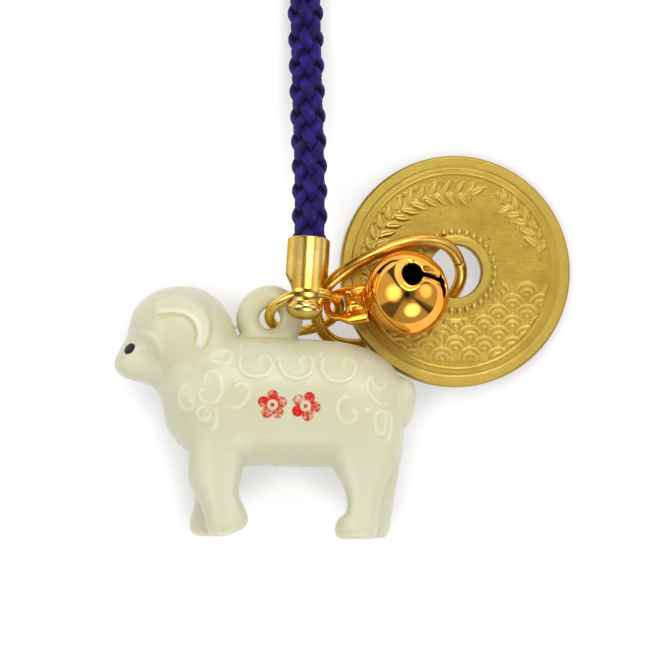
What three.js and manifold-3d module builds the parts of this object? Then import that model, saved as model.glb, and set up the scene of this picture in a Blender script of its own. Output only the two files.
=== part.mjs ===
// Zodiac sheep netsuke charm, lying on its side on a table: a moulded sheep with an eyelet, a round jump
// ring, a braided cord in a drawn brass end cap, a small round bell, and an oval ring that carries a holed
// coin. Lengths are millimetres. +X runs from the nose to the coin, +Y from the hooves to the cord, +Z up.
// The origin is under the middle of everything but the cord, on the table.
import * as THREE from "three";
import { mergeVertices } from "three/addons/utils/BufferGeometryUtils.js";
import Module from "manifold-3d";

const wasm = await Module();
wasm.setup();

// Sheep figure
const sheepLength = 28.6; // nose to tail
const sheepHeight = 23.85; // soles to the crown of the wool
const sheepThickness = 11; // side to side
const sheepParting = 6.1; // height of the widest outline above the side it lies on
const foreLift = 0.42; // the forefeet end this much higher than the hind feet
const noseX = -21.6; // where the nose and the soles lie from the origin
const soleY = -17.9;
const hornDiameter = 1.6;
const hornRadius = 2.4; // the horn's curl, at its middle
const hornFrom = THREE.MathUtils.degToRad(135); // the brow's end of the curl, from +X
const hornSweep = THREE.MathUtils.degToRad(-173);
const eyeletTube = 2.2; // thickness of the cast eyelet
const eyeletRadius = 2.08; // middle of its tube
const eyeletHeight = 5.28; // middle of its tube above the table

// Jump ring
const jumpWire = 1.05;
const jumpRadius = 3.35; // middle of the wire
const jumpTurn = THREE.MathUtils.degToRad(11.3); // its level diameter, turned from +X
const jumpTilt = THREE.MathUtils.degToRad(58.8); // its plane, tilted up from the table
const jumpSplit = 0.12;
const jumpSplitAt = THREE.MathUtils.degToRad(215);

// Cord and its end cap
const capDiameter = 4;
const capLength = 7.7;
const capWall = 0.25;
const capBulbDiameter = 3.44;
const capHoleDiameter = 3.1; // cross hole for the jump ring
const capHoleFromEnd = 2.75;
const capWeb = 0.4; // metal left between the cross hole and the cord
const capLean = THREE.MathUtils.degToRad(3.6); // seen from above, towards +X
const capDroop = THREE.MathUtils.degToRad(12.5); // the mouth hangs lower than the bulb
const cordDiameter = 3.4;
const loopCordDiameter = 1.5;

// Oval ring
const ovalWire = 1.14;
const ovalSpare = 3.02; // half its length over half the coin's web, which it reaches round
const ovalHalfWidth = 3.85;
const ovalPower = 2.35; // its sides bulge a little more than an ellipse's
const ovalTurn = THREE.MathUtils.degToRad(26);
const ovalSplit = 0.16;
const ovalSplitAt = THREE.MathUtils.degToRad(-2.9);
const ovalMiddle = 3.456; // height of its middle
const ovalDrop = 0.676; // fall from its middle to its far end
const ovalRoll = 0.683; // rise per length, across
const ovalEndX = 1.456; // its near end from the middle of the jump ring
const ovalEndY = -1.357;

// Coin
const coinDiameter = 22;
const coinHole = 5;
const coinThickness = 1.5;
const coinRim = 0.9; // width of the raised rim
const coinCollar = 1.2; // width of the raised collar round the hole
const coinRelief = 0.12; // rim above field
const coinEdge = 0.2; // broken corner of the edge
const coinPropped = 3.043; // the side that lies on the rings is raised this much over the other
const coinRaised = THREE.MathUtils.degToRad(205.7); // direction of the raised side, from +X
const coinBackX = -0.28; // its middle from the oval ring's far end
const coinBackY = -1.22;

// Bell
const bellDiameter = 8;
const bellWall = 0.35;
const bellSeam = 0.1; // gap between the two pressed halves
const bellSeamLow = THREE.MathUtils.degToRad(7); // the seam lies this far past the middle, from the mouth
const mouthTurn = THREE.MathUtils.degToRad(34.1); // direction of the mouth's pole, from +X
const mouthRise = THREE.MathUtils.degToRad(41.4);
const slitTurn = THREE.MathUtils.degToRad(47.5);
const slitWidth = 0.55;
const slitHole = 1.9;
const slitReach = THREE.MathUtils.degToRad(31); // end holes, from the pole of the mouth
const hangerRadius = 1.24; // loop, at the middle of its metal
const hangerThick = 0.72;
const hangerRoll = THREE.MathUtils.degToRad(71.9); // the loop's plane, turned about its line to the bell
const hangerLift = 0.26; // loop's middle above the wire's
const hangerNeck = 1;
const hangerWeb = 0.6; // thickness of the web between the loop and the crown
const hangerWebWidth = 2.8; // its width at the crown
const hangerFoot = 2.4;
const hangerShank = 0.8;
const hangerClinch = 1.6;
const hangerClinchThick = 0.3;
const hangerReach = 6.94; // bell centre to loop centre
const bellTurn = THREE.MathUtils.degToRad(9.5); // the bell from its loop, from +X
const pelletDiameter = 2.2;

// Clearances and the fineness of the facets
const slack = 0.1; // running gap between linked metal pieces
const restGap = 0.15; // a piece and what it lies on
const overrun = 1; // how far a cutter passes a face
const weld = 1e-4;
const wireSides = 10;
const roundSides = 28;
const discSides = 52;
const outlinePoints = 40;
const pillowRings = 6;

const turnZ = (angle) => new THREE.Vector3(Math.cos(angle), Math.sin(angle), 0);
const up = new THREE.Vector3(0, 0, 1);

// A closed geometry as a solid that can be joined and cut.
function solidOf(geometry) {
  const bare = geometry.clone();
  for (const name of Object.keys(bare.attributes)) {
    if (name !== "position") bare.deleteAttribute(name);
  }
  const merged = mergeVertices(bare, weld);
  return new wasm.Manifold(
    new wasm.Mesh({
      numProp: 3,
      vertProperties: merged.attributes.position.array,
      triVerts: new Uint32Array(merged.index.array),
    }),
  );
}

function geometryOf(solid) {
  const made = solid.getMesh();
  const geometry = new THREE.BufferGeometry();
  geometry.setAttribute("position", new THREE.BufferAttribute(made.vertProperties, 3));
  geometry.setIndex(new THREE.BufferAttribute(made.triVerts, 1));
  return geometry;
}

function join(geometries) {
  return geometries.map(solidOf).reduce((all, next) => all.add(next));
}

function finish(color, roughness, metalness) {
  return new THREE.MeshStandardMaterial({ color, roughness, metalness });
}

function piece(name, geometry, material) {
  const mesh = new THREE.Mesh(geometry, material);
  mesh.name = name;
  return mesh;
}

// The frame with the given axes and origin, as a matrix.
function frameOf(x, y, z, origin) {
  return new THREE.Matrix4().makeBasis(x, y, z).setPosition(origin);
}

// A frame whose Z runs along the axis and whose X is level.
function frameAlong(axis, origin) {
  const x = new THREE.Vector3().crossVectors(axis, up).normalize();
  return frameOf(x, new THREE.Vector3().crossVectors(axis, x), axis, origin);
}

// A round bar of the given diameter along a curve.
function bar(curve, diameter, sides, steps) {
  const section = new THREE.Shape();
  section.absarc(0, 0, diameter / 2, 0, 2 * Math.PI);
  return new THREE.ExtrudeGeometry(section, { extrudePath: curve, steps, curveSegments: sides });
}

// A curve given by a function of a parameter from 0 to 1.
class FormulaCurve extends THREE.Curve {
  constructor(point) {
    super();
    this.point = point;
  }
  getPoint(t) {
    return this.point(t);
  }
}

// A profile of [radius, height] points turned about +Z.
function turned(profile, sides) {
  const points = profile.map(([r, h]) => new THREE.Vector2(r, h));
  return new THREE.LatheGeometry(points, sides).rotateX(Math.PI / 2);
}

// Points on an arc of a circle about the axis, as [radius, height]; angles run from the pole downwards.
function poleArc(radius, from, to, steps, centre = 0) {
  return Array.from({ length: steps + 1 }, (_, i) => {
    const angle = from + ((to - from) * i) / steps;
    return [radius * Math.sin(angle), centre + radius * Math.cos(angle)];
  });
}

// A point of the sheep, given as shares of its length and height.
function sheepPoint([along, above]) {
  return new THREE.Vector2(noseX + along * sheepLength, soleY + above * sheepHeight);
}

// The nearest point of the segment from a to b.
function footOn(p, a, b) {
  const run = b.clone().sub(a);
  const share = run.lengthSq() ? p.clone().sub(a).dot(run) / run.lengthSq() : 0;
  return a.clone().addScaledVector(run, THREE.MathUtils.clamp(share, 0, 1));
}

// A soft-edged solid. Each ring is the outline drawn in towards the spine: the share that is left falls from
// 1 at the widest height to flatShare at the top and bottom, as the side of a superellipse does.
function pillow({ outlineShares, spineShares, heightShares, lowPower, highPower, flatShare }) {
  const corners = outlineShares.map(sheepPoint).map((p) => new THREE.Vector3(p.x, p.y, 0));
  const curve = new THREE.CatmullRomCurve3(corners, true, "centripetal");
  const outline = curve.getSpacedPoints(outlinePoints).slice(0, outlinePoints);
  const ends = spineShares.map(sheepPoint);
  const [low, widest, high] = heightShares.map((share) => share * sheepThickness);
  const side = (end, power) =>
    Array.from({ length: pillowRings + 1 }, (_, i) => {
      const last = Math.acos(Math.pow(flatShare, power / 2));
      const angle = (last * i) / pillowRings;
      const rise = Math.pow(Math.sin(angle) / Math.sin(last), 2 / power);
      return { z: widest + (end - widest) * rise, share: Math.pow(Math.cos(angle), 2 / power) };
    });
  const levels = [...side(low, lowPower).reverse(), ...side(high, highPower).slice(1)];
  const positions = [];
  for (const { z, share } of levels) {
    for (const p of outline) {
      const q = footOn(new THREE.Vector2(p.x, p.y), ends[0], ends[1]);
      positions.push(q.x + (p.x - q.x) * share, q.y + (p.y - q.y) * share, z);
    }
  }
  const middle = ends[0].clone().lerp(ends[1], 1 / 2);
  positions.push(middle.x, middle.y, low, middle.x, middle.y, high);
  const n = outlinePoints;
  const lowest = levels.length * n;
  const index = [];
  for (let k = 0; k < levels.length - 1; k++) {
    for (let i = 0; i < n; i++) {
      const a = k * n + i;
      const b = k * n + ((i + 1) % n);
      index.push(a, b, b + n, a, b + n, a + n);
    }
  }
  for (let i = 0; i < n; i++) {
    const j = (i + 1) % n;
    index.push(lowest, j, i, lowest + 1, lowest - n + i, lowest - n + j);
  }
  const geometry = new THREE.BufferGeometry();
  geometry.setAttribute("position", new THREE.Float32BufferAttribute(positions, 3));
  geometry.setIndex(index);
  if (THREE.ShapeUtils.area(outline) < 0) {
    for (let i = 0; i < index.length; i += 3) {
      [index[i + 1], index[i + 2]] = [index[i + 2], index[i + 1]];
    }
    geometry.setIndex(index);
  }
  return geometry;
}

// Parts of the sheep, as shares of its length, height and thickness, from the nose and the soles.
const bodyShares = {
  outlineShares: [
    [0.34, 0.82], [0.42, 0.8], [0.5, 0.797], [0.58, 0.793], [0.686, 0.787], [0.776, 0.774], [0.853, 0.745],
    [0.902, 0.707], [0.937, 0.657], [0.955, 0.6], [0.961, 0.5], [0.958, 0.397], [0.94, 0.318],
    [0.87, 0.281], [0.74, 0.284], [0.623, 0.284], [0.441, 0.289], [0.33, 0.295], [0.262, 0.325],
    [0.235, 0.352], [0.193, 0.405], [0.168, 0.469], [0.162, 0.52], [0.15, 0.572], [0.13, 0.615],
    [0.17, 0.7], [0.25, 0.78],
  ],
  spineShares: [[0.37, 0.54], [0.77, 0.53]],
  heightShares: [0, sheepParting / sheepThickness, 1],
  lowPower: 1.7,
  highPower: 2.2,
  flatShare: 0.3,
};
const woolCapShares = {
  outlineShares: [
    [0.055, 0.85], [0.064, 0.9], [0.092, 0.941], [0.134, 0.979], [0.183, 0.996], [0.232, 1], [0.281, 0.992],
    [0.322, 0.966], [0.357, 0.933], [0.379, 0.891], [0.399, 0.837], [0.41, 0.74], [0.37, 0.64],
    [0.29, 0.58], [0.2, 0.59], [0.13, 0.66], [0.08, 0.75],
  ],
  spineShares: [[0.2, 0.83], [0.27, 0.79]],
  heightShares: [0.07, 0.54, 0.94],
  lowPower: 2,
  highPower: 2,
  flatShare: 0.3,
};
const faceShares = {
  outlineShares: [
    [0.055, 0.849], [0.043, 0.799], [0.015, 0.74], [0, 0.69], [0.008, 0.665], [0.03, 0.64], [0.064, 0.627],
    [0.113, 0.611], [0.141, 0.59], [0.19, 0.6], [0.21, 0.69], [0.2, 0.79], [0.12, 0.86],
  ],
  spineShares: [[0.07, 0.7], [0.14, 0.74]],
  heightShares: [0.24, 0.54, 0.8],
  lowPower: 2,
  highPower: 2,
  flatShare: 0.3,
};
const nearForelegShares = {
  outlineShares: [
    [0.258, 0.4], [0.247, 0.31], [0.249, 0.22], [0.271, 0.168], [0.294, 0.12], [0.304, 0.07], [0.31, 0.03],
    [0.33, 0.012], [0.37, 0.012], [0.4, 0.026], [0.436, 0.048], [0.446, 0.075], [0.434, 0.121],
    [0.413, 0.18], [0.42, 0.23], [0.429, 0.28], [0.44, 0.38],
  ],
  spineShares: [[0.345, 0.36], [0.37, 0.02]],
  heightShares: [0.48, 0.72, 0.94],
  lowPower: 2.4,
  highPower: 2.4,
  flatShare: 0.3,
};
const farForelegShares = {
  outlineShares: [
    [0.258, 0.36], [0.246, 0.27], [0.246, 0.221], [0.267, 0.163], [0.263, 0.121], [0.25, 0.07],
    [0.251, 0.035], [0.268, 0.012], [0.3, 0.008], [0.34, 0.012], [0.358, 0.05], [0.357, 0.13],
    [0.367, 0.23], [0.378, 0.35],
  ],
  spineShares: [[0.31, 0.34], [0.305, 0.02]],
  heightShares: [0.06, 0.28, 0.52],
  lowPower: 2.4,
  highPower: 2.4,
  flatShare: 0.3,
};
const nearHindlegShares = {
  outlineShares: [
    [0.7, 0.35], [0.727, 0.272], [0.748, 0.23], [0.766, 0.18], [0.766, 0.105], [0.741, 0.079],
    [0.73, 0.04], [0.734, 0.016], [0.752, -0.003], [0.8, -0.006], [0.85, -0.003], [0.869, 0.02],
    [0.873, 0.06], [0.876, 0.12], [0.892, 0.192],
    [0.92, 0.272], [0.945, 0.36],
  ],
  spineShares: [[0.83, 0.36], [0.81, 0.03]],
  heightShares: [0.48, 0.72, 0.94],
  lowPower: 2.4,
  highPower: 2.4,
  flatShare: 0.3,
};
const farHindlegShares = {
  outlineShares: [
    [0.766, 0.36], [0.789, 0.23], [0.809, 0.13], [0.812, 0.05], [0.822, 0.01], [0.85, -0.004],
    [0.885, -0.002], [0.905, 0.012], [0.915, 0.062], [0.926, 0.146], [0.938, 0.23], [0.949, 0.314],
    [0.955, 0.38],
  ],
  spineShares: [[0.87, 0.36], [0.865, 0.03]],
  heightShares: [0.06, 0.28, 0.52],
  lowPower: 2.4,
  highPower: 2.4,
  flatShare: 0.3,
};
const tailShares = {
  outlineShares: [
    [0.93, 0.64], [0.972, 0.636], [0.993, 0.611], [1, 0.573], [0.993, 0.498], [0.979, 0.46], [0.961, 0.443],
    [0.93, 0.45], [0.92, 0.54],
  ],
  spineShares: [[0.95, 0.58], [0.95, 0.5]],
  heightShares: [0.32, 0.56, 0.78],
  lowPower: 2,
  highPower: 2,
  flatShare: 0.3,
};
const hornCentreShares = [0.217, 0.818];
const hornSideShares = [0.09, 0.9]; // heights of the two horns' middles
const eyeletShares = [0.515, 0.872];

// The horn's arc lies flat against each side of the wool, from the brow over the top and down behind.
function hornArc(heightShare) {
  const centre = sheepPoint(hornCentreShares);
  return new FormulaCurve((t) => {
    const angle = hornFrom + hornSweep * t;
    return new THREE.Vector3(centre.x, centre.y, heightShare * sheepThickness).addScaledVector(
      turnZ(angle),
      hornRadius,
    );
  });
}

const eyeletAt = sheepPoint(eyeletShares);
const eyeletCentre = new THREE.Vector3(eyeletAt.x, eyeletAt.y, eyeletHeight);

// The moulded sheep: soft forms fused together, with flat soles and a cast eyelet on the back.
function sheepFigure() {
  const soft = [bodyShares, woolCapShares, faceShares, tailShares];
  const legs = [nearForelegShares, farForelegShares, nearHindlegShares, farHindlegShares];
  const horns = hornSideShares.map((share) => bar(hornArc(share), hornDiameter, wireSides, roundSides / 2));
  const eyelet = new THREE.TorusGeometry(eyeletRadius, eyeletTube / 2, wireSides, roundSides);
  eyelet.translate(eyeletCentre.x, eyeletCentre.y, eyeletCentre.z);
  const whole = join([...[...soft, ...legs].map(pillow), ...horns, eyelet]);
  const under = new THREE.BoxGeometry(2 * sheepLength, sheepHeight, 2 * sheepThickness);
  under.translate(noseX + sheepLength / 2, soleY - sheepHeight / 2, sheepThickness / 2);
  const underFore = under.clone().translate(-sheepLength, foreLift, 0);
  return geometryOf(whole.subtract(solidOf(under)).subtract(solidOf(underFore)));
}

// The jump ring's frame: one diameter is level, and the plane rises towards +Y. Its level end lies in the
// eyelet's hole.
const jumpAcross = turnZ(jumpTurn);
const jumpRise = new THREE.Vector3(-Math.sin(jumpTurn), Math.cos(jumpTurn), 0)
  .multiplyScalar(Math.cos(jumpTilt))
  .addScaledVector(up, Math.sin(jumpTilt));
const jumpCentre = eyeletCentre.clone().addScaledVector(jumpAcross, jumpRadius);

function jumpPoint(angle) {
  return jumpCentre
    .clone()
    .addScaledVector(jumpAcross, jumpRadius * Math.cos(angle))
    .addScaledVector(jumpRise, jumpRadius * Math.sin(angle));
}

function jumpRing() {
  const sweep = 2 * Math.PI - jumpSplit / jumpRadius;
  const line = new FormulaCurve((t) => jumpPoint(jumpSplitAt + sweep * t));
  return bar(line, jumpWire, wireSides, roundSides);
}

// The end cap: a drawn cup for the cord, a cross hole for the jump ring and a rounded bulb. Its cross hole
// hangs on the jump ring's upper arc.
const capAxis = new THREE.Vector3(
  Math.sin(capLean) * Math.cos(capDroop),
  Math.cos(capLean) * Math.cos(capDroop),
  -Math.sin(capDroop),
);
const capOnRing = THREE.MathUtils.degToRad(81.7);
const capPull = 0.2; // the cord's pull keeps the wire this far from the middle of the cross hole
const capLift = 0.12;
const capHoleCentre = jumpPoint(capOnRing).addScaledVector(capAxis, capPull).addScaledVector(up, capLift);
const capEnd = capHoleCentre.clone().addScaledVector(capAxis, -capHoleFromEnd);
const capFloor = capHoleFromEnd + capHoleDiameter / 2 + capWeb;

function cordEndCap() {
  const bulb = capBulbDiameter / 2;
  const outer = capDiameter / 2;
  const bore = outer - capWall;
  const lip = capWall / 3;
  const profile = [
    ...poleArc(bulb, Math.PI, Math.PI / 2, 6, bulb),
    [bulb, bulb + capWall],
    [outer, bulb + 2 * capWall],
    [outer, capLength - lip],
    [outer - lip, capLength],
    [bore, capLength],
    [bore, capFloor],
    [0, capFloor],
  ];
  const hole = new THREE.CylinderGeometry(capHoleDiameter / 2, capHoleDiameter / 2, capDiameter + overrun, 24);
  hole.rotateZ(Math.PI / 2).translate(0, 0, capHoleFromEnd);
  const made = geometryOf(solidOf(turned(profile, roundSides)).subtract(solidOf(hole)));
  return made.applyMatrix4(frameAlong(capAxis, capEnd));
}

// The oval ring reaches from the jump ring round the coin's web: its near end keeps its place from the jump
// ring, and the coin's middle keeps its place from the far end.
const ovalReach = (coinDiameter - coinHole) / 4 + ovalSpare;
const ovalAlong = turnZ(ovalTurn);
const ovalAcross = turnZ(ovalTurn + Math.PI / 2);
const ovalCentre = new THREE.Vector3(jumpCentre.x + ovalEndX, jumpCentre.y + ovalEndY, 0).addScaledVector(
  ovalAlong,
  ovalReach,
);

// The coin lies with its lowest edge on the table and the opposite side propped up.
const coinTilt = Math.asin(coinPropped / coinDiameter);
const coinRaisedWay = turnZ(coinRaised);
const coinNormal = up
  .clone()
  .multiplyScalar(Math.cos(coinTilt))
  .addScaledVector(coinRaisedWay, -Math.sin(coinTilt));
const coinSlope = Math.tan(coinTilt);
const coinCentre = new THREE.Vector3(ovalCentre.x + coinBackX, ovalCentre.y + coinBackY, 0)
  .addScaledVector(ovalAlong, ovalReach)
  .addScaledVector(up, (coinDiameter / 2) * Math.sin(coinTilt) + (coinThickness / 2) * Math.cos(coinTilt));

// Height of the coin's upper face over a point of the table.
function coinTop(x, y) {
  const run = new THREE.Vector3(x - coinCentre.x, y - coinCentre.y, 0).dot(coinRaisedWay);
  return coinCentre.z + coinThickness / 2 / Math.cos(coinTilt) + run * coinSlope;
}

function coin() {
  const half = coinThickness / 2;
  const field = half - coinRelief;
  const outer = coinDiameter / 2;
  const hole = coinHole / 2;
  const face = (side) => [
    [outer, side * (half - coinEdge)],
    [outer - coinEdge, side * half],
    [outer - coinRim, side * half],
    [outer - coinRim - coinRelief, side * field],
    [hole + coinCollar + coinRelief, side * field],
    [hole + coinCollar, side * half],
    [hole + coinRelief, side * half],
    [hole, side * (half - coinRelief)],
  ];
  const profile = [...face(-1).reverse(), ...face(1), [hole, -field]];
  const across = new THREE.Vector3().crossVectors(up, coinRaisedWay).normalize();
  const along = new THREE.Vector3().crossVectors(across, coinNormal);
  return turned(profile, discSides).applyMatrix4(frameOf(along, across, coinNormal, coinCentre));
}

// The oval ring is flat. It starts inside the jump ring, lies over the coin, dips through the coin's hole and
// comes back under it. Seen from above it is a superellipse about ovalCentre; its height follows a plane.
function ovalPoint(angle) {
  const cos = Math.cos(angle);
  const sin = Math.sin(angle);
  const a = ovalReach * Math.sign(cos) * Math.pow(Math.abs(cos), 2 / ovalPower);
  const b = ovalHalfWidth * Math.sign(sin) * Math.pow(Math.abs(sin), 2 / ovalPower);
  return ovalCentre
    .clone()
    .addScaledVector(ovalAlong, a)
    .addScaledVector(ovalAcross, b)
    .addScaledVector(up, ovalMiddle - (ovalDrop * a) / ovalReach + ovalRoll * b);
}

function ovalRing() {
  const sweep = 2 * Math.PI - ovalSplit / ovalHalfWidth;
  const line = new FormulaCurve((t) => ovalPoint(ovalSplitAt + sweep * t));
  return bar(line, ovalWire, wireSides, discSides);
}

// The bell rests on the coin, its loop hung on the jump ring's far end.
const hangerCentre = jumpPoint(0).addScaledVector(up, hangerLift);
const bellCentre = bellPlace();
const bellAxis = bellCentre.clone().sub(hangerCentre).normalize();
const bellFrame = frameAlong(bellAxis, bellCentre);
const mouthAxis = turnZ(mouthTurn)
  .multiplyScalar(Math.cos(mouthRise))
  .addScaledVector(up, Math.sin(mouthRise));
const mouthFrame = frameAlong(mouthAxis, bellCentre);

function bellPlace() {
  const away = turnZ(bellTurn);
  const above = bellDiameter / 2 / Math.cos(coinTilt) + restGap;
  const place = hangerCentre.clone().addScaledVector(away, hangerReach);
  for (let round = 0; round < 8; round++) {
    const rise = coinTop(place.x, place.y) + above - hangerCentre.z;
    const level = Math.sqrt(hangerReach * hangerReach - rise * rise);
    place.copy(hangerCentre).addScaledVector(away, level).addScaledVector(up, rise);
  }
  return place;
}

// Half a hollow ball about the bell's axis: the crown is below, the mouth above.
function shellHalf(pole, edge) {
  const outer = bellDiameter / 2;
  const profile = [...poleArc(outer - bellWall, pole, edge, 7), ...poleArc(outer, edge, pole, 7)];
  return turned(pole > edge ? profile.reverse() : profile, roundSides);
}

function bellUpperShell() {
  const seam = Math.asin(bellSeam / bellDiameter);
  const whole = shellHalf(Math.PI, Math.PI / 2 + bellSeamLow + seam).applyMatrix4(mouthFrame);
  const hole = new THREE.CylinderGeometry(hangerShank / 2 + slack, hangerShank / 2 + slack, bellDiameter, 16);
  hole.rotateX(Math.PI / 2).translate(0, 0, -bellDiameter / 2).applyMatrix4(bellFrame);
  return geometryOf(solidOf(whole).subtract(solidOf(hole)));
}

function bellLowerShell() {
  const seam = Math.asin(bellSeam / bellDiameter);
  const whole = shellHalf(0, Math.PI / 2 + bellSeamLow - seam);
  const reach = (bellDiameter / 2) * Math.sin(slitReach);
  const slit = new THREE.BoxGeometry(2 * reach, slitWidth, bellDiameter).translate(0, 0, bellDiameter / 2);
  let cut = solidOf(slit);
  for (const way of [-1, 1]) {
    const hole = new THREE.CylinderGeometry(slitHole / 2, slitHole / 2, bellDiameter / 2, 16);
    hole.rotateX(Math.PI / 2).translate(0, 0, bellDiameter / 2).rotateY(way * slitReach);
    cut = cut.add(solidOf(hole));
  }
  const turnedCut = cut.rotate([0, 0, THREE.MathUtils.radToDeg(slitTurn)]);
  return geometryOf(solidOf(whole).subtract(turnedCut)).applyMatrix4(mouthFrame);
}

// The bell's hanger: a thick loop on a flared neck, with a flat web from the loop's sides to the crown. Its
// shank passes the crown and is clinched inside.
function bellHanger() {
  const outer = bellDiameter / 2;
  const loop = new THREE.TorusGeometry(hangerRadius, hangerThick / 2, wireSides, roundSides * 0.75);
  loop.rotateX(Math.PI / 2).rotateZ(Math.PI / 2 + hangerRoll);
  loop.translate(0, 0, -hangerReach);
  const foot = Math.sqrt((outer + slack) ** 2 - (hangerFoot / 2) ** 2);
  const inside = outer - bellWall - slack;
  const profile = [
    [0, -hangerReach + hangerRadius],
    [hangerNeck / 2, -hangerReach + hangerRadius],
    [hangerNeck / 2, -outer - hangerNeck / 2],
    [hangerFoot / 2, -foot],
    [hangerShank / 2, -outer - slack],
    [hangerShank / 2, -inside],
    [hangerClinch / 2, -inside + hangerClinchThick / 3],
    [hangerClinch / 2, -inside + hangerClinchThick],
    [0, -inside + hangerClinchThick],
  ];
  const plate = new THREE.ExtrudeGeometry(
    new THREE.Shape([
      new THREE.Vector2(-hangerRadius, -hangerReach),
      new THREE.Vector2(hangerRadius, -hangerReach),
      new THREE.Vector2(hangerWebWidth / 2, -outer - slack),
      new THREE.Vector2(-hangerWebWidth / 2, -outer - slack),
    ]),
    { depth: hangerWeb, bevelEnabled: false },
  );
  plate.translate(0, 0, -hangerWeb / 2);
  const eye = new THREE.CylinderGeometry(hangerRadius, hangerRadius, hangerWeb + overrun, roundSides);
  eye.rotateX(Math.PI / 2).translate(0, -hangerReach, 0);
  const web = geometryOf(solidOf(plate).subtract(solidOf(eye)));
  web.rotateX(Math.PI / 2).rotateZ(Math.PI / 2 + hangerRoll);
  return geometryOf(join([loop, turned(profile, 20), web])).applyMatrix4(bellFrame);
}

// The pellet lies at the lowest point inside the bell.
function bellPellet() {
  const drop = bellDiameter / 2 - bellWall - pelletDiameter / 2 - slack;
  const ball = new THREE.SphereGeometry(pelletDiameter / 2, 20, 12);
  return ball.translate(bellCentre.x, bellCentre.y, bellCentre.z - drop);
}

// The cord's route, chosen by hand: out of the cap, down to the table and on in a shallow bend.
const cordRoute = [
  [-3.3, 7.72, 7.71], [-3.22, 9.03, 7.42], [-3.13, 10.35, 7.12], [-3.08, 12.9, 6.47], [-3.08, 16, 5.45],
  [-3.15, 19, 4.37], [-3.25, 22, 3.35], [-3.33, 25, 2.5], [-3.41, 28, 1.97], [-3.47, 31, 1.76],
  [-3.5, 34, 1.72], [-3.4, 38, 1.71], [-3.0, 42, 1.71], [-2.2, 46.5, 1.71], [-1.0, 51, 1.71],
  [0.6, 55.5, 1.71], [2.2, 59.2, 1.71],
];
// The thin loop's route: out of the thick braid's end, round and back beside itself.
const loopRoute = [
  [2.0, 60.1, 1.35], [2.4, 61.6, 1.0], [2.9, 63.5, 0.8], [3.2, 67, 0.77], [3.3, 71, 0.77],
  [3.2, 76, 0.77], [3.1, 81, 0.77], [3.3, 86, 0.77], [3.9, 91, 0.77], [5.2, 96, 0.77],
  [7.2, 100, 0.77], [9.8, 102.6, 0.77], [12.8, 103.2, 0.77], [15.2, 101.6, 0.77], [16.1, 98.6, 0.77],
  [15.6, 95, 0.77], [14.2, 91, 0.77], [12.4, 86.5, 0.77], [10.6, 81.5, 0.77], [9.0, 76.5, 0.77],
  [7.6, 72, 0.77], [6.3, 68, 0.77], [5.1, 64.6, 0.8], [4.2, 62, 1.0], [3.6, 60.4, 1.35],
];

function cordTube(route, diameter, steps) {
  const points = route.map(([x, y, z]) => new THREE.Vector3(x, y, z));
  return bar(new THREE.CatmullRomCurve3(points, false, "centripetal"), diameter, 8, steps);
}

const resin = finish("#dfdcc0", 0.4, 0);
const ringPlate = finish("#d6b24a", 0.22, 1);
const capPlate = finish("#cdb765", 0.35, 1);
const coinBrass = finish("#c3ad4e", 0.4, 1);
const bellPlate = finish("#e2951b", 0.1, 1);
const steel = finish("#9a9a9a", 0.3, 1);
const braid = finish("#2a1e80", 0.7, 0);

const charm = new THREE.Group();
charm.add(
  piece("sheep_figure", sheepFigure(), resin),
  piece("jump_ring", jumpRing(), ringPlate),
  piece("cord_end_cap", cordEndCap(), capPlate),
  piece("cord_body", cordTube(cordRoute, cordDiameter, 18), braid),
  piece("cord_loop", cordTube(loopRoute, loopCordDiameter, 48), braid),
  piece("oval_ring", ovalRing(), ringPlate),
  piece("coin", coin(), coinBrass),
  piece("bell_upper_shell", bellUpperShell(), bellPlate),
  piece("bell_lower_shell", bellLowerShell(), bellPlate),
  piece("bell_hanger", bellHanger(), bellPlate),
  piece("bell_pellet", bellPellet(), steel),
);

export default charm;
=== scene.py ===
# Zodiac sheep netsuke charm: a moulded resin sheep, two plated rings, a braided strap in a brass end cap, a
# small round bell and a holed brass coin, lying on a pale table. Sizes in this file are in millimetres.
import math

import bmesh
import bpy
import numpy as np
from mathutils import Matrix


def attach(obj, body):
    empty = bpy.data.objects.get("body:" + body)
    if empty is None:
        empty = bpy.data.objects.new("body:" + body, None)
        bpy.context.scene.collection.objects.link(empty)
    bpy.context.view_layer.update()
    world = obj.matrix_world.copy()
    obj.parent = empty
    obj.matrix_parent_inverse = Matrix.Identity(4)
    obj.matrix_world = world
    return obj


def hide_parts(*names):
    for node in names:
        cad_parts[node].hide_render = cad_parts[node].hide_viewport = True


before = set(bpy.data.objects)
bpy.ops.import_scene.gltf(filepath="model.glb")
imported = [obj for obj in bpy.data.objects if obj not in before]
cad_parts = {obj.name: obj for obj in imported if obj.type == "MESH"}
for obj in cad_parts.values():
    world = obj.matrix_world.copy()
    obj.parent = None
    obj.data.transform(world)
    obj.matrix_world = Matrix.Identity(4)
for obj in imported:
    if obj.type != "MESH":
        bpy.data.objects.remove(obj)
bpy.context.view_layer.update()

MM = 0.001

# Camera: a long lens straight over the table, as for a catalogue picture. The picture is 61.6 mm wide at the
# height of the coin, 1.2 m under the lens.
view_middle, view_width, film_width = (-1.63, 2.294), 61.61, 36
coin_level, coin_distance = 3, 1200
camera = bpy.data.objects.new("camera", bpy.data.cameras.new("camera"))
bpy.context.scene.collection.objects.link(camera)
camera.location = [v * MM for v in (*view_middle, coin_level + coin_distance)]
camera.data.sensor_width = film_width
camera.data.lens = film_width * coin_distance / view_width
camera.data.clip_end = 10
bpy.context.scene.camera = camera
bpy.context.scene.view_settings.view_transform = "Standard"

# Braided cord: a round braid of eight flat strands of dyed polyester thread, purple, 3.4 mm thick. Four strands
# wind each way, over one and under one, so it shows eight columns of leaf-shaped stitches. Its lower end is
# glued into the brass cap, and its upper end is bound with thread round the thin loop.


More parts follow.
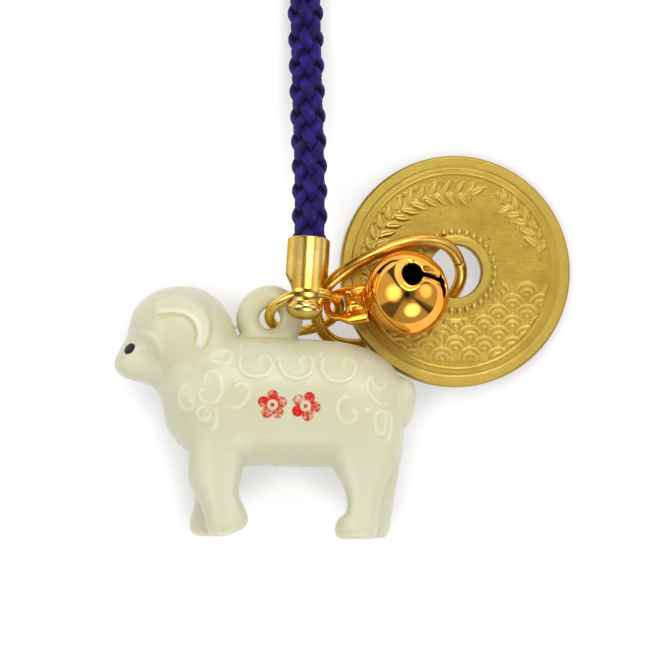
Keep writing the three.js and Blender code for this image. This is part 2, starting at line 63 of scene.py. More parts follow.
def linear(code):
    """sRGB hex to linear colour: each channel c becomes ((c + 0.055) / 1.055) to the power 2.4, or c / 12.92
    where it is dark."""
    parts = [int(code[i:i + 2], 16) / 255 for i in (1, 3, 5)]
    return (*[c / 12.92 if c <= 0.04045 else ((c + 0.055) / 1.055) ** 2.4 for c in parts], 1)


def put(tree, kind, *values, **named):
    """Adds a node, or sets one that is there. Names in lower case are its own properties, and "stops" the
    (place, hex) stops of a colour ramp; names with a capital, and _ for a space, are inputs. Values without a
    name go to the inputs in use, in their order: for MapRange the value, the ends of the range that it comes
    from, and the ends of the one that it goes to. A value may be a hex colour, or a node, which links its
    first output in use."""
    node = tree.nodes.new("ShaderNode" + kind) if isinstance(kind, str) else kind
    for name, value in named.items():
        if name == "stops":
            while len(node.color_ramp.elements) < len(value):
                node.color_ramp.elements.new(0.5)
            for element, (place, code) in zip(node.color_ramp.elements, value):
                element.position, element.color = place, linear(code)
        elif name.islower():
            setattr(node, name, value)
    takes = [(node.inputs[name.replace("_", " ")], value) for name, value in named.items() if name[0].isupper()]
    for socket, value in [*takes, *zip([socket for socket in node.inputs if socket.enabled], values)]:
        if isinstance(value, bpy.types.Node):
            value = next(output for output in value.outputs if output.enabled)
        if isinstance(value, bpy.types.NodeSocket):
            tree.links.new(value, socket)
        else:
            socket.default_value = linear(value) if isinstance(value, str) else value
    return node


def new_material(name):
    """An empty material with its output and a Principled surface, and that surface's tree."""
    material = bpy.data.materials.new(name)
    material.use_nodes = True
    tree = material.node_tree
    tree.nodes.clear()
    surface = put(tree, "BsdfPrincipled")
    put(tree, "OutputMaterial", surface)
    return material, tree, surface


def run_of(line):
    """Distance along a line at each of its points."""
    return np.concatenate([[0], np.cumsum(np.linalg.norm(np.diff(line, axis=0), axis=1))])


def values_at(places, run, values):
    """Values along a line, read at other distances than those of its points."""
    return np.stack([np.interp(places, run, values[:, k]) for k in range(3)], 1)


def smooth_route(points, spacing, closed=False):
    """Centripetal Catmull-Rom curve through the points, then sampled evenly: each stretch is a cubic whose end
    slopes come from its neighbours, with knots spaced by the square root of the distance."""
    p = np.array(points, float)
    if closed:
        p = np.vstack([p[-1], p, p[0], p[1]])
    else:
        p = np.vstack([2 * p[0] - p[1], p, 2 * p[-1] - p[-2]])
    gap = np.sqrt(np.linalg.norm(np.diff(p, axis=0), axis=1))[:, None]
    a, b, c, d = p[:-3], p[1:-2], p[2:-1], p[3:]
    g0, g1, g2 = gap[:-2], gap[1:-1], gap[2:]
    leave = ((b - a) / g0 - (c - a) / (g0 + g1) + (c - b) / g1) * g1
    arrive = ((c - b) / g1 - (d - b) / (g1 + g2) + (d - c) / g2) * g1
    t = np.linspace(0, 1, 60, endpoint=False)[None, :, None]
    curve = (
        (2 * t**3 - 3 * t**2 + 1) * b[:, None]
        + (t**3 - 2 * t**2 + t) * leave[:, None]
        + (3 * t**2 - 2 * t**3) * c[:, None]
        + (t**3 - t**2) * arrive[:, None]
    ).reshape(-1, 3)
    curve = np.vstack([curve, p[-2]])
    run = run_of(curve)
    even = np.linspace(0, run[-1], int(run[-1] / spacing) + 1)
    return values_at(even, run, curve), even


def unit(v):
    """Vectors scaled to length 1."""
    return v / np.linalg.norm(v, axis=-1, keepdims=True)


def ring_angles(count):
    """Angles of places spread evenly round a circle."""
    return np.arange(count) * 2 * np.pi / count


def swept(q, a, b):
    """Directions at angle q from a towards b: cos(q) times a plus sin(q) times b."""
    return np.cos(q)[..., None] * a + np.sin(q)[..., None] * b


def superellipse(q, power):
    """Across and up at angle q: its cosine and its sine to the power 2 / power, with their signs kept."""
    return (np.sign(v) * np.abs(v) ** (2 / power) for v in (np.cos(q), np.sin(q)))


def grid_of(points, wrap=(False, False), span=(1, 1), part=0):
    """One surface patch: a grid of points [m, n, 3], closed on itself along either way that wraps, with a UV
    that runs over the given span in millimetres, and the number of the material it takes."""
    m, n = points.shape[:2]
    rows, columns = m if wrap[0] else m - 1, n if wrap[1] else n - 1
    i, j = (v.ravel() for v in np.meshgrid(np.arange(rows), np.arange(columns), indexing="ij"))
    corner = np.stack([[i, j], [i + 1, j], [i + 1, j + 1], [i, j + 1]]).transpose(2, 0, 1)
    quads = corner[..., 0] % m * n + corner[..., 1] % n
    return points.reshape(-1, 3), quads, corner * [span[0] / rows, span[1] / columns], np.full(len(quads), part)


def mesh_piece(name, patches, materials, sharp=None):
    """One closed mesh from patches: their grids are put together, doubles at seams and poles are merged, faces
    are turned outwards, and edges sharper than the given angle stay sharp."""
    points, quads, uv, part = (np.concatenate(each) for each in zip(*patches))
    start = np.cumsum([0] + [len(p[0]) for p in patches[:-1]])
    quads = quads + np.repeat(start, [len(p[1]) for p in patches])[:, None]
    mesh = bpy.data.meshes.new(name)
    mesh.vertices.add(len(points))
    mesh.vertices.foreach_set("co", (points * MM).ravel())
    mesh.loops.add(quads.size)
    mesh.loops.foreach_set("vertex_index", quads.ravel().astype(np.int32))
    mesh.polygons.add(len(quads))
    mesh.polygons.foreach_set("loop_start", np.arange(0, quads.size, 4, dtype=np.int32))
    mesh.polygons.foreach_set("material_index", part.astype(np.int32))
    mesh.uv_layers.new(name="lie").data.foreach_set("uv", uv.ravel())
    mesh.update(calc_edges=True)
    work = bmesh.new()
    work.from_mesh(mesh)
    bmesh.ops.remove_doubles(work, verts=work.verts, dist=2e-4 * MM)
    bmesh.ops.recalc_face_normals(work, faces=work.faces)
    work.to_mesh(mesh)
    work.free()
    mesh.shade_smooth()
    if sharp:
        mesh.set_sharp_from_angle(angle=math.radians(sharp))
    for material in materials:
        mesh.materials.append(material)
    piece = bpy.data.objects.new(name, mesh)
    bpy.context.scene.collection.objects.link(piece)
    return piece


def path_frame(path):
    """Sideways and upward directions at each point of a path that is nowhere upright."""
    forward = unit(np.gradient(path, axis=0))
    side = unit(np.cross(forward, [0.0, 0.0, 1.0]))
    return side, np.cross(side, forward)


def tube_patch(path, side, rise, half_width, half_height, sides, power=2.0, wrap=False):
    """A bar along a path: each section is a superellipse in the plane of side and rise. An open bar ends in
    rings that shrink to a point. Its UV runs in millimetres along it and from 0 to 1 round it."""
    x, y = superellipse(ring_angles(sides)[None, :, None], power)
    w, h = (np.broadcast_to(v, len(path))[:, None, None] for v in (half_width, half_height))
    side, rise = (np.broadcast_to(v, path.shape)[:, None] for v in (side, rise))
    ring = path[:, None] + w * x * side + h * y * rise
    if not wrap:
        ring = np.concatenate([np.repeat(path[None, :1], sides, 1), ring, np.repeat(path[None, -1:], sides, 1)])
    return grid_of(ring, (wrap, True), (run_of(path)[-1], 1))


def braid_patches(route, diameter, ways, lay):
    """The strands of a round braid. Strand k winds at angle q = k * 2 pi / ways plus or minus 2 pi s / lay
    about the route, at a distance that rises and falls with the cosine of ways * q: with it for one way of
    winding, against it for the other, so each strand passes over one and under one. A strand on top turns
    slower, by a sine of the same angle, which makes its stitch a long leaf."""
    path, s = smooth_route(route, 0.16)
    side, rise = path_frame(path)
    middle, swing = 0.282 * diameter, 0.088 * diameter
    width, thick, linger = 0.69 * diameter / ways, 0.13 * diameter, 0.55
    grow = np.clip(np.minimum(s, s[-1] - s) / 0.5, 0.05, 1) ** 0.5
    patches = []
    for way in (1, -1):
        for k in range(ways):
            even = 2 * np.pi * (k / ways + way * s / lay)
            q = even - way * linger / ways * np.sin(ways * even)
            out = swept(q, side, rise)
            line = path + (middle + way * swing * np.cos(ways * even))[:, None] * out
            ahead = unit(np.gradient(line, axis=0))
            across = unit(np.cross(ahead, out))
            rib = np.cross(across, ahead)
            patches.append(tube_patch(line, across, rib, width * grow, thick * grow, 14, 2.3))
    core = tube_patch(path, side, rise, middle * 0.7 * grow, middle * 0.7 * grow, 12)
    return [*patches, core]


# Spun polyester thread, satin. Filaments lie along each strand, with a slight twist, and show as streaks:
# partly where the dye took more or less, partly a painted sheen, the palest violet standing in for satin
# highlights. The flanks and underside of each strand are painted nearly black, as painted shade where light
# doesn't reach.
purple_thread, tree, surface = new_material("purple_polyester_thread")
lie = put(tree, "UVMap", uv_map="lie")
twist = put(tree, "Mapping", lie, Scale=(0.75, 3.2, 1), Rotation=(0, 0, 0.35))
streak = put(tree, "TexNoise", twist, Scale=1.5, Detail=6.0, Roughness=0.7)
# Uneven dye and painted sheen: the palest violet stop stands in for highlights on the satin.
dye_and_painted_sheen = put(tree, "ValToRGB", streak, stops=[(0.36, "#181647"), (0.52, "#291b76"), (0.68, "#4c20ae")])
# Painted shade: by the angle round the strand, the colour goes to near black on its flanks and underside.
turn = put(tree, "SeparateXYZ", lie).outputs["Y"]
turn = put(tree, "Math", turn, 2 * math.pi, operation="MULTIPLY")
lit = put(tree, "MapRange", put(tree, "Math", turn, operation="SINE"), 0.05, 0.8)
fine = put(tree, "Mapping", lie, Scale=(0.9, 5.0, 1), Rotation=(0, 0, 0.35))
filament = put(
    tree, "TexWave", fine, Scale=2.6, Distortion=3.0, Detail=3.0, Detail_Scale=1.5, wave_type="BANDS",
    bands_direction="Y",
).outputs["Fac"]
put(
    tree, surface, Base_Color=put(tree, "Mix", lit, "#050412", dye_and_painted_sheen, data_type="RGBA"), Roughness=0.55,
    Specular_IOR_Level=0.22, Sheen_Weight=0.06, Sheen_Roughness=0.4, Sheen_Tint="#5a35c0",
    Normal=put(tree, "Bump", Strength=0.8, Distance=0.06 * MM, Height=filament),
)

cord_diameter, cord_lay = 3.4, 10.0
cord_route = [
    (-3.3, 7.72, 7.71), (-3.22, 9.03, 7.42), (-3.13, 10.35, 7.12), (-3.08, 12.9, 6.47), (-3.08, 16, 5.45),
    (-3.15, 19, 4.37), (-3.25, 22, 3.35), (-3.33, 25, 2.5), (-3.41, 28, 1.97), (-3.47, 31, 1.76),
    (-3.5, 34, 1.72), (-3.4, 38, 1.71), (-3.0, 42, 1.71), (-2.2, 46.5, 1.71), (-1.0, 51, 1.71),
    (0.6, 55.5, 1.71), (2.2, 59.2, 1.71),
]
braided_cord = mesh_piece(
    "braided_cord", braid_patches(cord_route, cord_diameter, 4, cord_lay), [purple_thread]
)
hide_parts("cord_body")
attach(braided_cord, "strap")

# Thin loop: a 1.5 mm braid of four strands of the same thread. Both its ends go into the thick braid's bound
# end, and it is what the charm is hung or looped on by.
loop_diameter, loop_lay = 1.5, 5.0
loop_route = [
    (2.0, 60.1, 1.35), (2.4, 61.6, 1.0), (2.9, 63.5, 0.8), (3.2, 67, 0.77), (3.3, 71, 0.77), (3.2, 76, 0.77),
    (3.1, 81, 0.77), (3.3, 86, 0.77), (3.9, 91, 0.77), (5.2, 96, 0.77), (7.2, 100, 0.77), (9.8, 102.6, 0.77),
    (12.8, 103.2, 0.77), (15.2, 101.6, 0.77), (16.1, 98.6, 0.77), (15.6, 95, 0.77), (14.2, 91, 0.77),
    (12.4, 86.5, 0.77), (10.6, 81.5, 0.77), (9.0, 76.5, 0.77), (7.6, 72, 0.77), (6.3, 68, 0.77),
    (5.1, 64.6, 0.8), (4.2, 62, 1.0), (3.6, 60.4, 1.35),
]
thin_loop = mesh_piece("thin_loop", braid_patches(loop_route, loop_diameter, 2, loop_lay), [purple_thread])
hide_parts("cord_loop")
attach(thin_loop, "strap")

# Whipping: nine turns of the same thread, wound tight over the cut end of the thick braid and both ends of
# the thin loop, and glued. It holds the two braids together.
whip_turns, whip_steps, whip_thread, whip_flat = 9, 24, 0.2, 0.13
whip_line, _ = smooth_route(
    [(1.78, 58.2, 1.66), (2.2, 59.2, 1.66), (2.55, 60.3, 1.6), (2.95, 61.5, 1.42)], 0.01
)
t = np.linspace(0, 1, whip_turns * whip_steps)
station = values_at(t, np.linspace(0, 1, len(whip_line)), whip_line)
side, rise = path_frame(station)
girth = 1.5 - 0.42 * t**2
out = swept(2 * np.pi * whip_turns * t, side, rise)
lay_line = station + girth[:, None] * out
sleeve = tube_patch(station, side, rise, girth - 0.04, girth - 0.04, 40)
beside = np.cross(unit(np.gradient(lay_line, axis=0)), out)
coil = tube_patch(lay_line, out, beside, whip_flat, whip_thread, 10)
whipping = mesh_piece("thread_whipping", [coil, sleeve], [purple_thread])
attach(whipping, "strap")

# Light: a tent of white cloth with four bright curtains, at the top, on the left, at the bottom and on the
# right of the picture, and two darker folds between them. The key lamp stands over the table towards the top
# of the picture and throws the shadows a little downwards; three weaker lamps show in the bell. The camera
# looks in through a small dark gap. Bright goods mirror all of it.
world = bpy.data.worlds.new("tent")
bpy.context.scene.world = world
world.use_nodes = True
tent = world.node_tree
tent.nodes.clear()
way = put(tent, "TexCoord").outputs["Generated"]
level_way = put(tent, "VectorMath", way, (1, 1, 0), operation="MULTIPLY")
level_way = put(tent, "VectorMath", level_way, operation="NORMALIZE")
height = put(tent, "SeparateXYZ", way).outputs["Z"]
# The plain cloth glows at 0.15, and each patch of the tent adds to that.
light = 0.15
# Curtains and folds: bearing from +X, half width and softness in degrees, strength added, and the height of the
# top edge as the upward part of its direction. The edge fades from 0.06 under that height to 0.03 over it.
for bearing, half, soft, level, top in [
    (169, 35, 4, 0.58, 0.96), (-82, 38, 4, 0.34, 0.95), (3, 31, 4, 0.42, 0.94),
    (127, 11, 4, -0.08, 0.9), (-40, 3, 2, -0.1, 0.85), (76, 27, 5, 1.15, 0.9),
]:
    bearing, outer, inner = (math.radians(v) for v in (bearing, half + soft, half - soft))
    middle = (math.cos(bearing), math.sin(bearing), 0)
    facing = put(tent, "VectorMath", level_way, middle, operation="DOT_PRODUCT")
    across = put(
        tent, "MapRange", facing, math.cos(outer), math.cos(inner), 0.0, level, interpolation_type="SMOOTHSTEP"
    )
    below = put(tent, "MapRange", height, top + 0.03, top - 0.06, interpolation_type="SMOOTHSTEP")
    light = put(tent, "Math", across, below, light, operation="MULTIPLY_ADD")
# Lamps and the camera's gap: direction, half width and softness in degrees, strength added.
for direction, half, soft, level in [
    ((0.2, 0.47, 0.86), 14, 5, 4.5), ((0.22, -0.73, 0.64), 12, 12, 3.0), ((-0.62, 0.02, 0.8), 15, 13, 1.9),
    ((0.78, 0.12, 0.61), 12, 11, 1.2), ((-0.02, -0.05, 1.0), 8, 3, -0.13),
]:
    outer, inner = math.radians(half + soft), math.radians(half - soft)
    facing = put(tent, "VectorMath", way, tuple(unit(np.array(direction))), operation="DOT_PRODUCT")
    glow = put(
        tent, "MapRange", facing, math.cos(outer), math.cos(inner), 0.0, level, interpolation_type="SMOOTHSTEP"
    )
    light = put(tent, "Math", glow, light, operation="ADD")
seen = put(tent, "LightPath").outputs["Is Camera Ray"]
inside = put(tent, "Background", Color="#ffffff", Strength=light)
plain = put(tent, "Background", Color="#ffffff", Strength=1.0)
put(tent, "OutputWorld", put(tent, "MixShader", seen, inside, plain))

# Table: a sheet of white card under everything. To the camera, and in what metal mirrors, its own glow fills
# most of it in, so it is white. Close under the object an occlusion test dims that glow, which paints a soft
# contact shadow onto the card.
card, tree, surface = new_material("white_card")
table_half, table_level = 900.0, -0.02
lit_grey, seen_grey = (0.78, 0.78, 0.78, 1), (0.32, 0.32, 0.32, 1)
path_kind = put(tree, "LightPath").outputs
seen = put(tree, "Math", path_kind["Is Camera Ray"], path_kind["Is Glossy Ray"], operation="MAXIMUM")
seen = put(tree, "Math", seen, path_kind["Is Transmission Ray"], operation="MAXIMUM")
# Painted shadow: the glow is cut down where the object is within a few millimetres, leaning towards the top of
# the picture.
near = put(tree, "AmbientOcclusion", Distance=5.5 * MM, Normal=(0.15, 0.6, 0.78), samples=12).outputs["AO"]
glow_with_painted_shadow = put(tree, "MapRange", near, 0.55, 0.8, 0.54, 0.79)
put(
    tree, surface, Base_Color=put(tree, "Mix", seen, lit_grey, seen_grey, data_type="RGBA"), Roughness=0.9,
    Specular_IOR_Level=0.0, Emission_Color="#ffffff",
    Emission_Strength=put(tree, "Math", seen, glow_with_painted_shadow, operation="MULTIPLY"),
)
ends = (-table_half, table_half)
corners = np.array([[(x, y, table_level) for y in ends] for x in ends])
table = mesh_piece("table_card", [grid_of(corners)], [card])

# Cord end cap: brass cup drawn from sheet, plated pale gold and tumbled satin. The braid is glued into its
# mouth; the jump ring goes through the cross hole above its rounded end.


def axes_along(axis):
    """Sideways, upward and forward axes for a piece turned about the given axis, the first one level."""
    forward = unit(np.array(axis, float))
    side = unit(np.cross(forward, [0.0, 0.0, 1.0]))
    return np.stack([side, np.cross(forward, side), forward])


def eased(corners, reach):
    """A profile with its corners eased: each becomes a parabola that starts and ends the given reach away."""
    c = np.array(corners, float)
    before, here, after = c[:-2], c[1:-1], c[2:]
    near = np.minimum(reach, 0.45 * np.linalg.norm(here - before, axis=1))[:, None]
    far = np.minimum(reach, 0.45 * np.linalg.norm(after - here, axis=1))[:, None]
    start, end = here - near * unit(here - before), here + far * unit(after - here)
    t = np.linspace(0, 1, 6)[None, :, None]
    bend = (1 - t) ** 2 * start[:, None] + 2 * t * (1 - t) * here[:, None] + t**2 * end[:, None]
    return np.vstack([c[:1], bend.reshape(-1, 2), c[-1:]])


def wheel(r, z, sides):
    """Points round the third axis: each column has its radius r and height z, each row its angle."""
    q = ring_angles(sides)[:, None]
    return np.stack([r * np.cos(q), r * np.sin(q), np.broadcast_to(z, (sides, len(r)))], -1)


def turned_patch(profile, axes, origin, sides):
    """A surface of revolution: each profile point (radius, height) goes round the third of the axes."""
    r, h = np.array(profile).T
    length = run_of(np.array(profile))[-1]
    return grid_of(wheel(r, h, sides) @ axes + np.array(origin), (True, False), (2 * np.pi * r.max(), length))


def reworked(piece, kind, **settings):
    """Runs one modifier on the piece for good."""
    modifier = piece.modifiers.new("rework", kind)
    for name, value in settings.items():
        setattr(modifier, name, value)
    made = bpy.data.meshes.new_from_object(piece.evaluated_get(bpy.context.evaluated_depsgraph_get()))
    piece.modifiers.clear()
    piece.data = made


def plated_brass(name, tone, deep, rough, grain, scratch):
    """Gold plate on brass under clear lacquer: a smooth coloured metal with a thin white gloss. Faint draw
    lines run along the piece, the plate is a little deeper in colour in places, and fine scratches lie across
    it."""
    material, tree, surface = new_material(name)
    place = put(tree, "TexCoord").outputs["Object"]
    cloud = put(tree, "TexNoise", place, Scale=0.35 / MM, Detail=3.0)
    drawn = put(tree, "Mapping", put(tree, "UVMap", uv_map="lie"), Scale=grain)
    lines = put(tree, "TexNoise", drawn, Scale=3.0, Detail=4.0, Roughness=0.7)
    marks = put(tree, "TexNoise", place, Scale=1.9 / MM, Detail=6.0, Roughness=0.75, Distortion=1.4)
    both = put(tree, "Math", marks, scratch, lines, operation="MULTIPLY_ADD")
    put(
        tree, surface, Base_Color=put(tree, "ValToRGB", cloud, stops=[(0.3, deep), (0.62, tone)]),
        Metallic=1.0, Roughness=put(tree, "MapRange", lines, 0.3, 0.7, rough * 0.75, rough * 1.35),
        Specular_Tint=deep, Coat_Weight=0.12, Coat_Roughness=0.12,
        Normal=put(tree, "Bump", Strength=0.12, Distance=0.04 * MM, Height=both),
    )
    return material


cap_metal = plated_brass("pale_gold_plated_brass", "#e4c877", "#d2a848", 0.17, (7.0, 0.35, 1), 2.2)
cap_axes, cap_end = axes_along((0.061, 0.974, -0.216)), (-3.605, 2.848, 8.787)
cap_radius, cap_length, cap_wall, cap_floor = 2.0, 7.7, 0.25, 4.7
bulb_radius, bulb_half, bulb_steps, hole_radius, hole_up = 1.72, 0.98, 18, 1.55, 2.75
q = np.linspace(math.pi, 0.35 * math.pi, bulb_steps)
bulb = np.stack([bulb_radius * np.sin(q), bulb_half + bulb_half * np.cos(q)], 1)
cup = [
    bulb[-2], bulb[-1], (bulb_radius - 0.13, 1.66), (bulb_radius - 0.05, 1.86), (cap_radius - 0.08, 2.2),
    (cap_radius, 2.5), (cap_radius, cap_length - 0.1), (cap_radius - 0.1, cap_length),
    (cap_radius - cap_wall, cap_length), (cap_radius - cap_wall, cap_floor), (0, cap_floor),
]
cap_profile = np.vstack([bulb[:-1], eased(cup, 0.1)[1:]])
end_cap = mesh_piece("end_cap", [turned_patch(cap_profile, cap_axes, cap_end, 144)], [cap_metal])
rod = [(0, -3), (hole_radius, -3), (hole_radius, 3), (0, 3)]
drill = mesh_piece(
    "cutter", [turned_patch(rod, cap_axes[::-1], np.array(cap_end) + hole_up * cap_axes[2], 96)], []
)
reworked(end_cap, "BOOLEAN", operation="DIFFERENCE", solver="EXACT", object=drill)
bpy.data.objects.remove(drill)
end_cap.data.set_sharp_from_angle(angle=math.radians(38))
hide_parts("cord_end_cap")
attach(end_cap, "strap")

# Jump ring: a round of polished brass wire, plated gold, closed butt to butt. It hangs in the sheep's eyelet
# and carries the end cap, the bell and the oval ring. The wire is 0.97 mm, so they swing without touching.
pale_wire = plated_brass("pale_gold_plated_wire", "#f6d36c", "#e6b73e", 0.2, (0.3, 6.0, 1), 0.6)
gold_wire = plated_brass("gold_plated_wire", "#e6b655", "#d19c3c", 0.24, (0.3, 6.0, 1), 0.6)
cut_metal, tree, surface = new_material("sheared_brass_wire_end")
shear = put(tree, "TexNoise", put(tree, "TexCoord").outputs["Object"], Scale=6 / MM, Detail=3.0)
put(
    tree, surface, Base_Color=put(tree, "ValToRGB", shear, stops=[(0.35, "#bfb8a6"), (0.65, "#f1efe9")]),
    Metallic=1.0, Roughness=0.3,
)


def wire_loop(name, point, normal, start, wire, material):
    """A loop of round wire along a curve that is a function of one angle. Its two ends face each other over a
    gap of 0.12 mm, and their edges are eased."""
    gap, ease, steps, sides = 0.12, 0.08, 260, 28
    line = point(np.linspace(start, start + 2 * np.pi, steps * 4))
    run = run_of(line)
    last = run[-1] - gap
    stations = np.concatenate([
        [0, 0, ease * 0.35], np.linspace(ease, last - ease, steps), [last - ease * 0.35, last, last]
    ])
    path = values_at(stations, run, line)
    ahead = unit(values_at(stations, run, np.gradient(line, axis=0)))
    side = unit(np.cross(ahead, normal))
    half = np.full(len(path), wire / 2)
    half[[1, -2]] -= ease
    half[[0, -1]] = 0.001
    half[[2, -3]] -= ease * 0.3
    points, quads, uv, part = tube_patch(path, side, np.cross(side, ahead), half, half, sides)
    ends = np.arange(len(quads)) // sides
    part[(ends < 2) | (ends > ends.max() - 2)] = 1
    return mesh_piece(name, [(points, quads, uv, part)], [material, cut_metal], sharp=50)


jump_wire, jump_radius = 0.97, 3.35
jump_turn, jump_tilt = math.radians(11.3), math.radians(58.8)
jump_across = np.array([math.cos(jump_turn), math.sin(jump_turn), 0])
jump_rise = swept(jump_tilt, np.array([-math.sin(jump_turn), math.cos(jump_turn), 0]), np.array([0, 0, 1]))
eyelet_middle = np.array([-6.871, 2.897, 5.28])


def jump_line(q):
    """Circle through the middle of the sheep's eyelet."""
    return eyelet_middle + jump_radius * (jump_across + swept(q, jump_across, jump_rise))


jump_ring = wire_loop(
    "jump_ring_wire", jump_line, np.cross(jump_across, jump_rise), math.radians(215), jump_wire, pale_wire
)
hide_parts("jump_ring")
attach(jump_ring, "ring")

# Oval ring: a stouter wire of 1.14 mm, plated a little deeper in colour, bent to a long oval and closed butt to
# butt at its far end. It carries the coin.
oval_wire, oval_reach, oval_half_width, oval_power = 1.14, 7.27, 3.85, 2.35
oval_turn = math.radians(26)
oval_middle, oval_grade, oval_roll = np.array([4.404, 5.384, 3.456]), 0.093, 0.683
oval_along = np.array([math.cos(oval_turn), math.sin(oval_turn), -oval_grade])
oval_across = np.array([-math.sin(oval_turn), math.cos(oval_turn), oval_roll])


def oval_line(q):
    """Superellipse in plan; its height follows a plane."""
    along, across = superellipse(q[:, None], oval_power)
    return oval_middle + oval_reach * along * oval_along + oval_half_width * across * oval_across


oval_ring = wire_loop(
    "oval_ring_wire", oval_line, unit(np.cross(oval_along, oval_across)), -0.05, oval_wire, gold_wire
)
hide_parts("oval_ring")
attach(oval_ring, "oval")

# Holed coin: struck brass, 22 mm across with a 5 mm hole, matt and khaki from handling. It has a raised rim
# and a raised collar, a ring of beads round the collar, sprays of leaves above and rows of waves below.
coin_radius, coin_hole, coin_half, coin_relief, field_sunk = 11.0, 2.5, 0.75, 0.15, 0.12
rim_ease, hole_ease, beads, bead_ring = 0.22, 0.12, 32, 3.78


def hump(distance, width, power=2):
    """Falls from 1 to 0 as a bell curve: e to the minus (distance / width) to the given power."""
    return np.exp(-(np.abs(distance / width) ** power))


def ramp(x, at, width):
    """Rises from 0 to 1 round a place, as a logistic curve: 1 / (1 + e to the (at - x) / width)."""
    return 1 / (1 + np.exp(np.clip((at - x) / width, -30, 30)))


def dome(distance, radius, power=0.5):
    """Height from 1 down to 0 of a dome: (1 - (distance / radius) squared) to the given power."""
    return np.clip(1 - (distance / radius) ** 2, 0, 1) ** power


def leaf(x, y, at, turn, length, width):
    """Height from 0 to 1 of a leaf: across it falls as a dome, along it narrows to a point at both ends; a
    groove marks its midrib."""
    u = (x - at[0]) * math.cos(turn) + (y - at[1]) * math.sin(turn)
    v = -(x - at[0]) * math.sin(turn) + (y - at[1]) * math.cos(turn)
    half = width * np.sin(np.pi * np.clip(u / length, 0, 1) ** 0.8) + 1e-6
    return dome(v, half, 0.6) * ((u > 0) & (u < length)) * (1 - 0.5 * hump(v, 0.07))


def stem(x, y, points, half_width):
    """Height from 0 to 1 of a rounded line through the points: a bell curve of the distance to it."""
    line, _ = smooth_route([(*p, 0) for p in points], 0.15)
    low, high = line.min(0) - 4 * half_width, line.max(0) + 4 * half_width
    near = (x > low[0]) & (x < high[0]) & (y > low[1]) & (y < high[1])
    height = np.zeros_like(x)
    if near.any():
        gap = np.hypot(x[near][:, None] - line[None, :, 0], y[near][:, None] - line[None, :, 1]).min(1)
        height[near] = hump(gap, half_width)
    return height


def coin_front(x, y):
    """Relief of the front: two leafy sprays, beads round the collar and rows of overlapping wave fans."""
    first_leaf, leaf_step, leaf_lean, berry_out, line_step = 0.6, 0.56, 0.85, 1.15, 0.1
    r = np.hypot(x, y)
    forms = []
    for spray in (
        [(-8.2, -2.6), (-8.2, 0.4), (-7.2, 3.5), (-4.9, 5.9), (-1.9, 7.2), (1.4, 7.3)],
        [(8.1, 1.4), (7.6, 3.5), (6.3, 5.4), (4.5, 6.6)],
    ):
        line, run = smooth_route([(*p, 0) for p in spray], line_step)
        forms.append(0.7 * stem(x, y, spray, 0.13))
        for i, s in enumerate(np.arange(first_leaf, run[-1], leaf_step)):
            k = int(s / line_step)
            ahead = line[min(k + 1, len(line) - 1)] - line[k - 1]
            turn = math.atan2(ahead[1], ahead[0]) + (leaf_lean if i % 2 else -leaf_lean)
            out = berry_out * (i % 3 > 0)
            berry = np.hypot(
                x - line[k][0] - out * math.cos(turn + 0.55), y - line[k][1] - out * math.sin(turn + 0.55)
            )
            forms += [leaf(x, y, line[k], turn, 1.6, 0.36), dome(berry, 0.2)]
        forms.append(leaf(x, y, line[-1], turn - 0.4, 1.7, 0.32))
    bead = np.abs((np.arctan2(y, x) / (2 * np.pi) * beads) % 1 - 0.5) * 2 * np.pi * bead_ring / beads
    height = np.maximum.reduce([*forms, dome(np.hypot(bead, r - bead_ring), 0.3)])
    rows, first_row, row_step, fan_radius, fan_arcs, inner, outer = 7, -2.3, 1.02, 1.36, 2.5, 4.6, 8.9
    for row in range(rows):
        level = first_row - row * row_step
        cell = (x / (2 * fan_radius) + 0.5 * (row % 2)) % 1 - 0.5
        gap = np.hypot(cell * 2 * fan_radius, y - level)
        inside = (gap < fan_radius) & (y > level - 0.05) & (r > inner) & (r < outer) & (y < -1.9 + 0.35 * x)
        fan = 0.35 + 0.65 * (np.cos(gap / fan_radius * 2 * np.pi * fan_arcs) > 0)
        height = np.where(inside, 0.75 * fan, height)
    return height


def coin_back(x, y):
    """Relief of the back: a plain ring line and a wreath of leaves."""
    forms = [hump(np.hypot(x, y) - 5.0, 0.12)]
    for k, q in enumerate(ring_angles(22)):
        at = (7.1 * math.cos(q), 7.1 * math.sin(q))
        forms.append(leaf(x, y, at, q + math.pi / 2 + (0.5 if k % 2 else -0.5), 1.9, 0.38))
    return np.maximum.reduce(forms)


# Struck coin brass after years of handling: half-matt, greenish gold. The low ground keeps a brown tarnish, the
# high places are rubbed brighter, and short hairline scratches and dark specks lie anywhere.
coin_metal, tree, surface = new_material("handled_coin_brass")
place = put(tree, "TexCoord").outputs["Object"]
high = put(tree, "Attribute", attribute_name="strike").outputs["Fac"]
cloud = put(tree, "TexNoise", place, Scale=0.22 / MM, Detail=5.0, Roughness=0.6)
fleck = put(tree, "TexNoise", place, Scale=3.4 / MM, Detail=4.0, Roughness=0.75)
spot = put(tree, "MapRange", put(tree, "TexVoronoi", place, Scale=0.9 / MM), 0.05, 0.09, 1.0, 0.0)
rare = put(tree, "MapRange", put(tree, "TexNoise", place, Scale=0.6 / MM, Detail=1.0), 0.54, 0.6)
tone = put(tree, "ValToRGB", cloud, stops=[(0.3, "#a68936"), (0.5, "#b89b42"), (0.7, "#c2a84e")])
for share, colour in (
    (put(tree, "MapRange", fleck, 0.62, 0.4, 0.0, 0.5), "#a3843a"), (high, "#c6ab54"),
    (put(tree, "Math", spot, rare, operation="MULTIPLY"), "#5d4416"),
):
    tone = put(tree, "Mix", share, tone, colour, data_type="RGBA")
grit = put(tree, "TexNoise", place, Scale=6.5 / MM, Detail=5.0, Roughness=0.7)
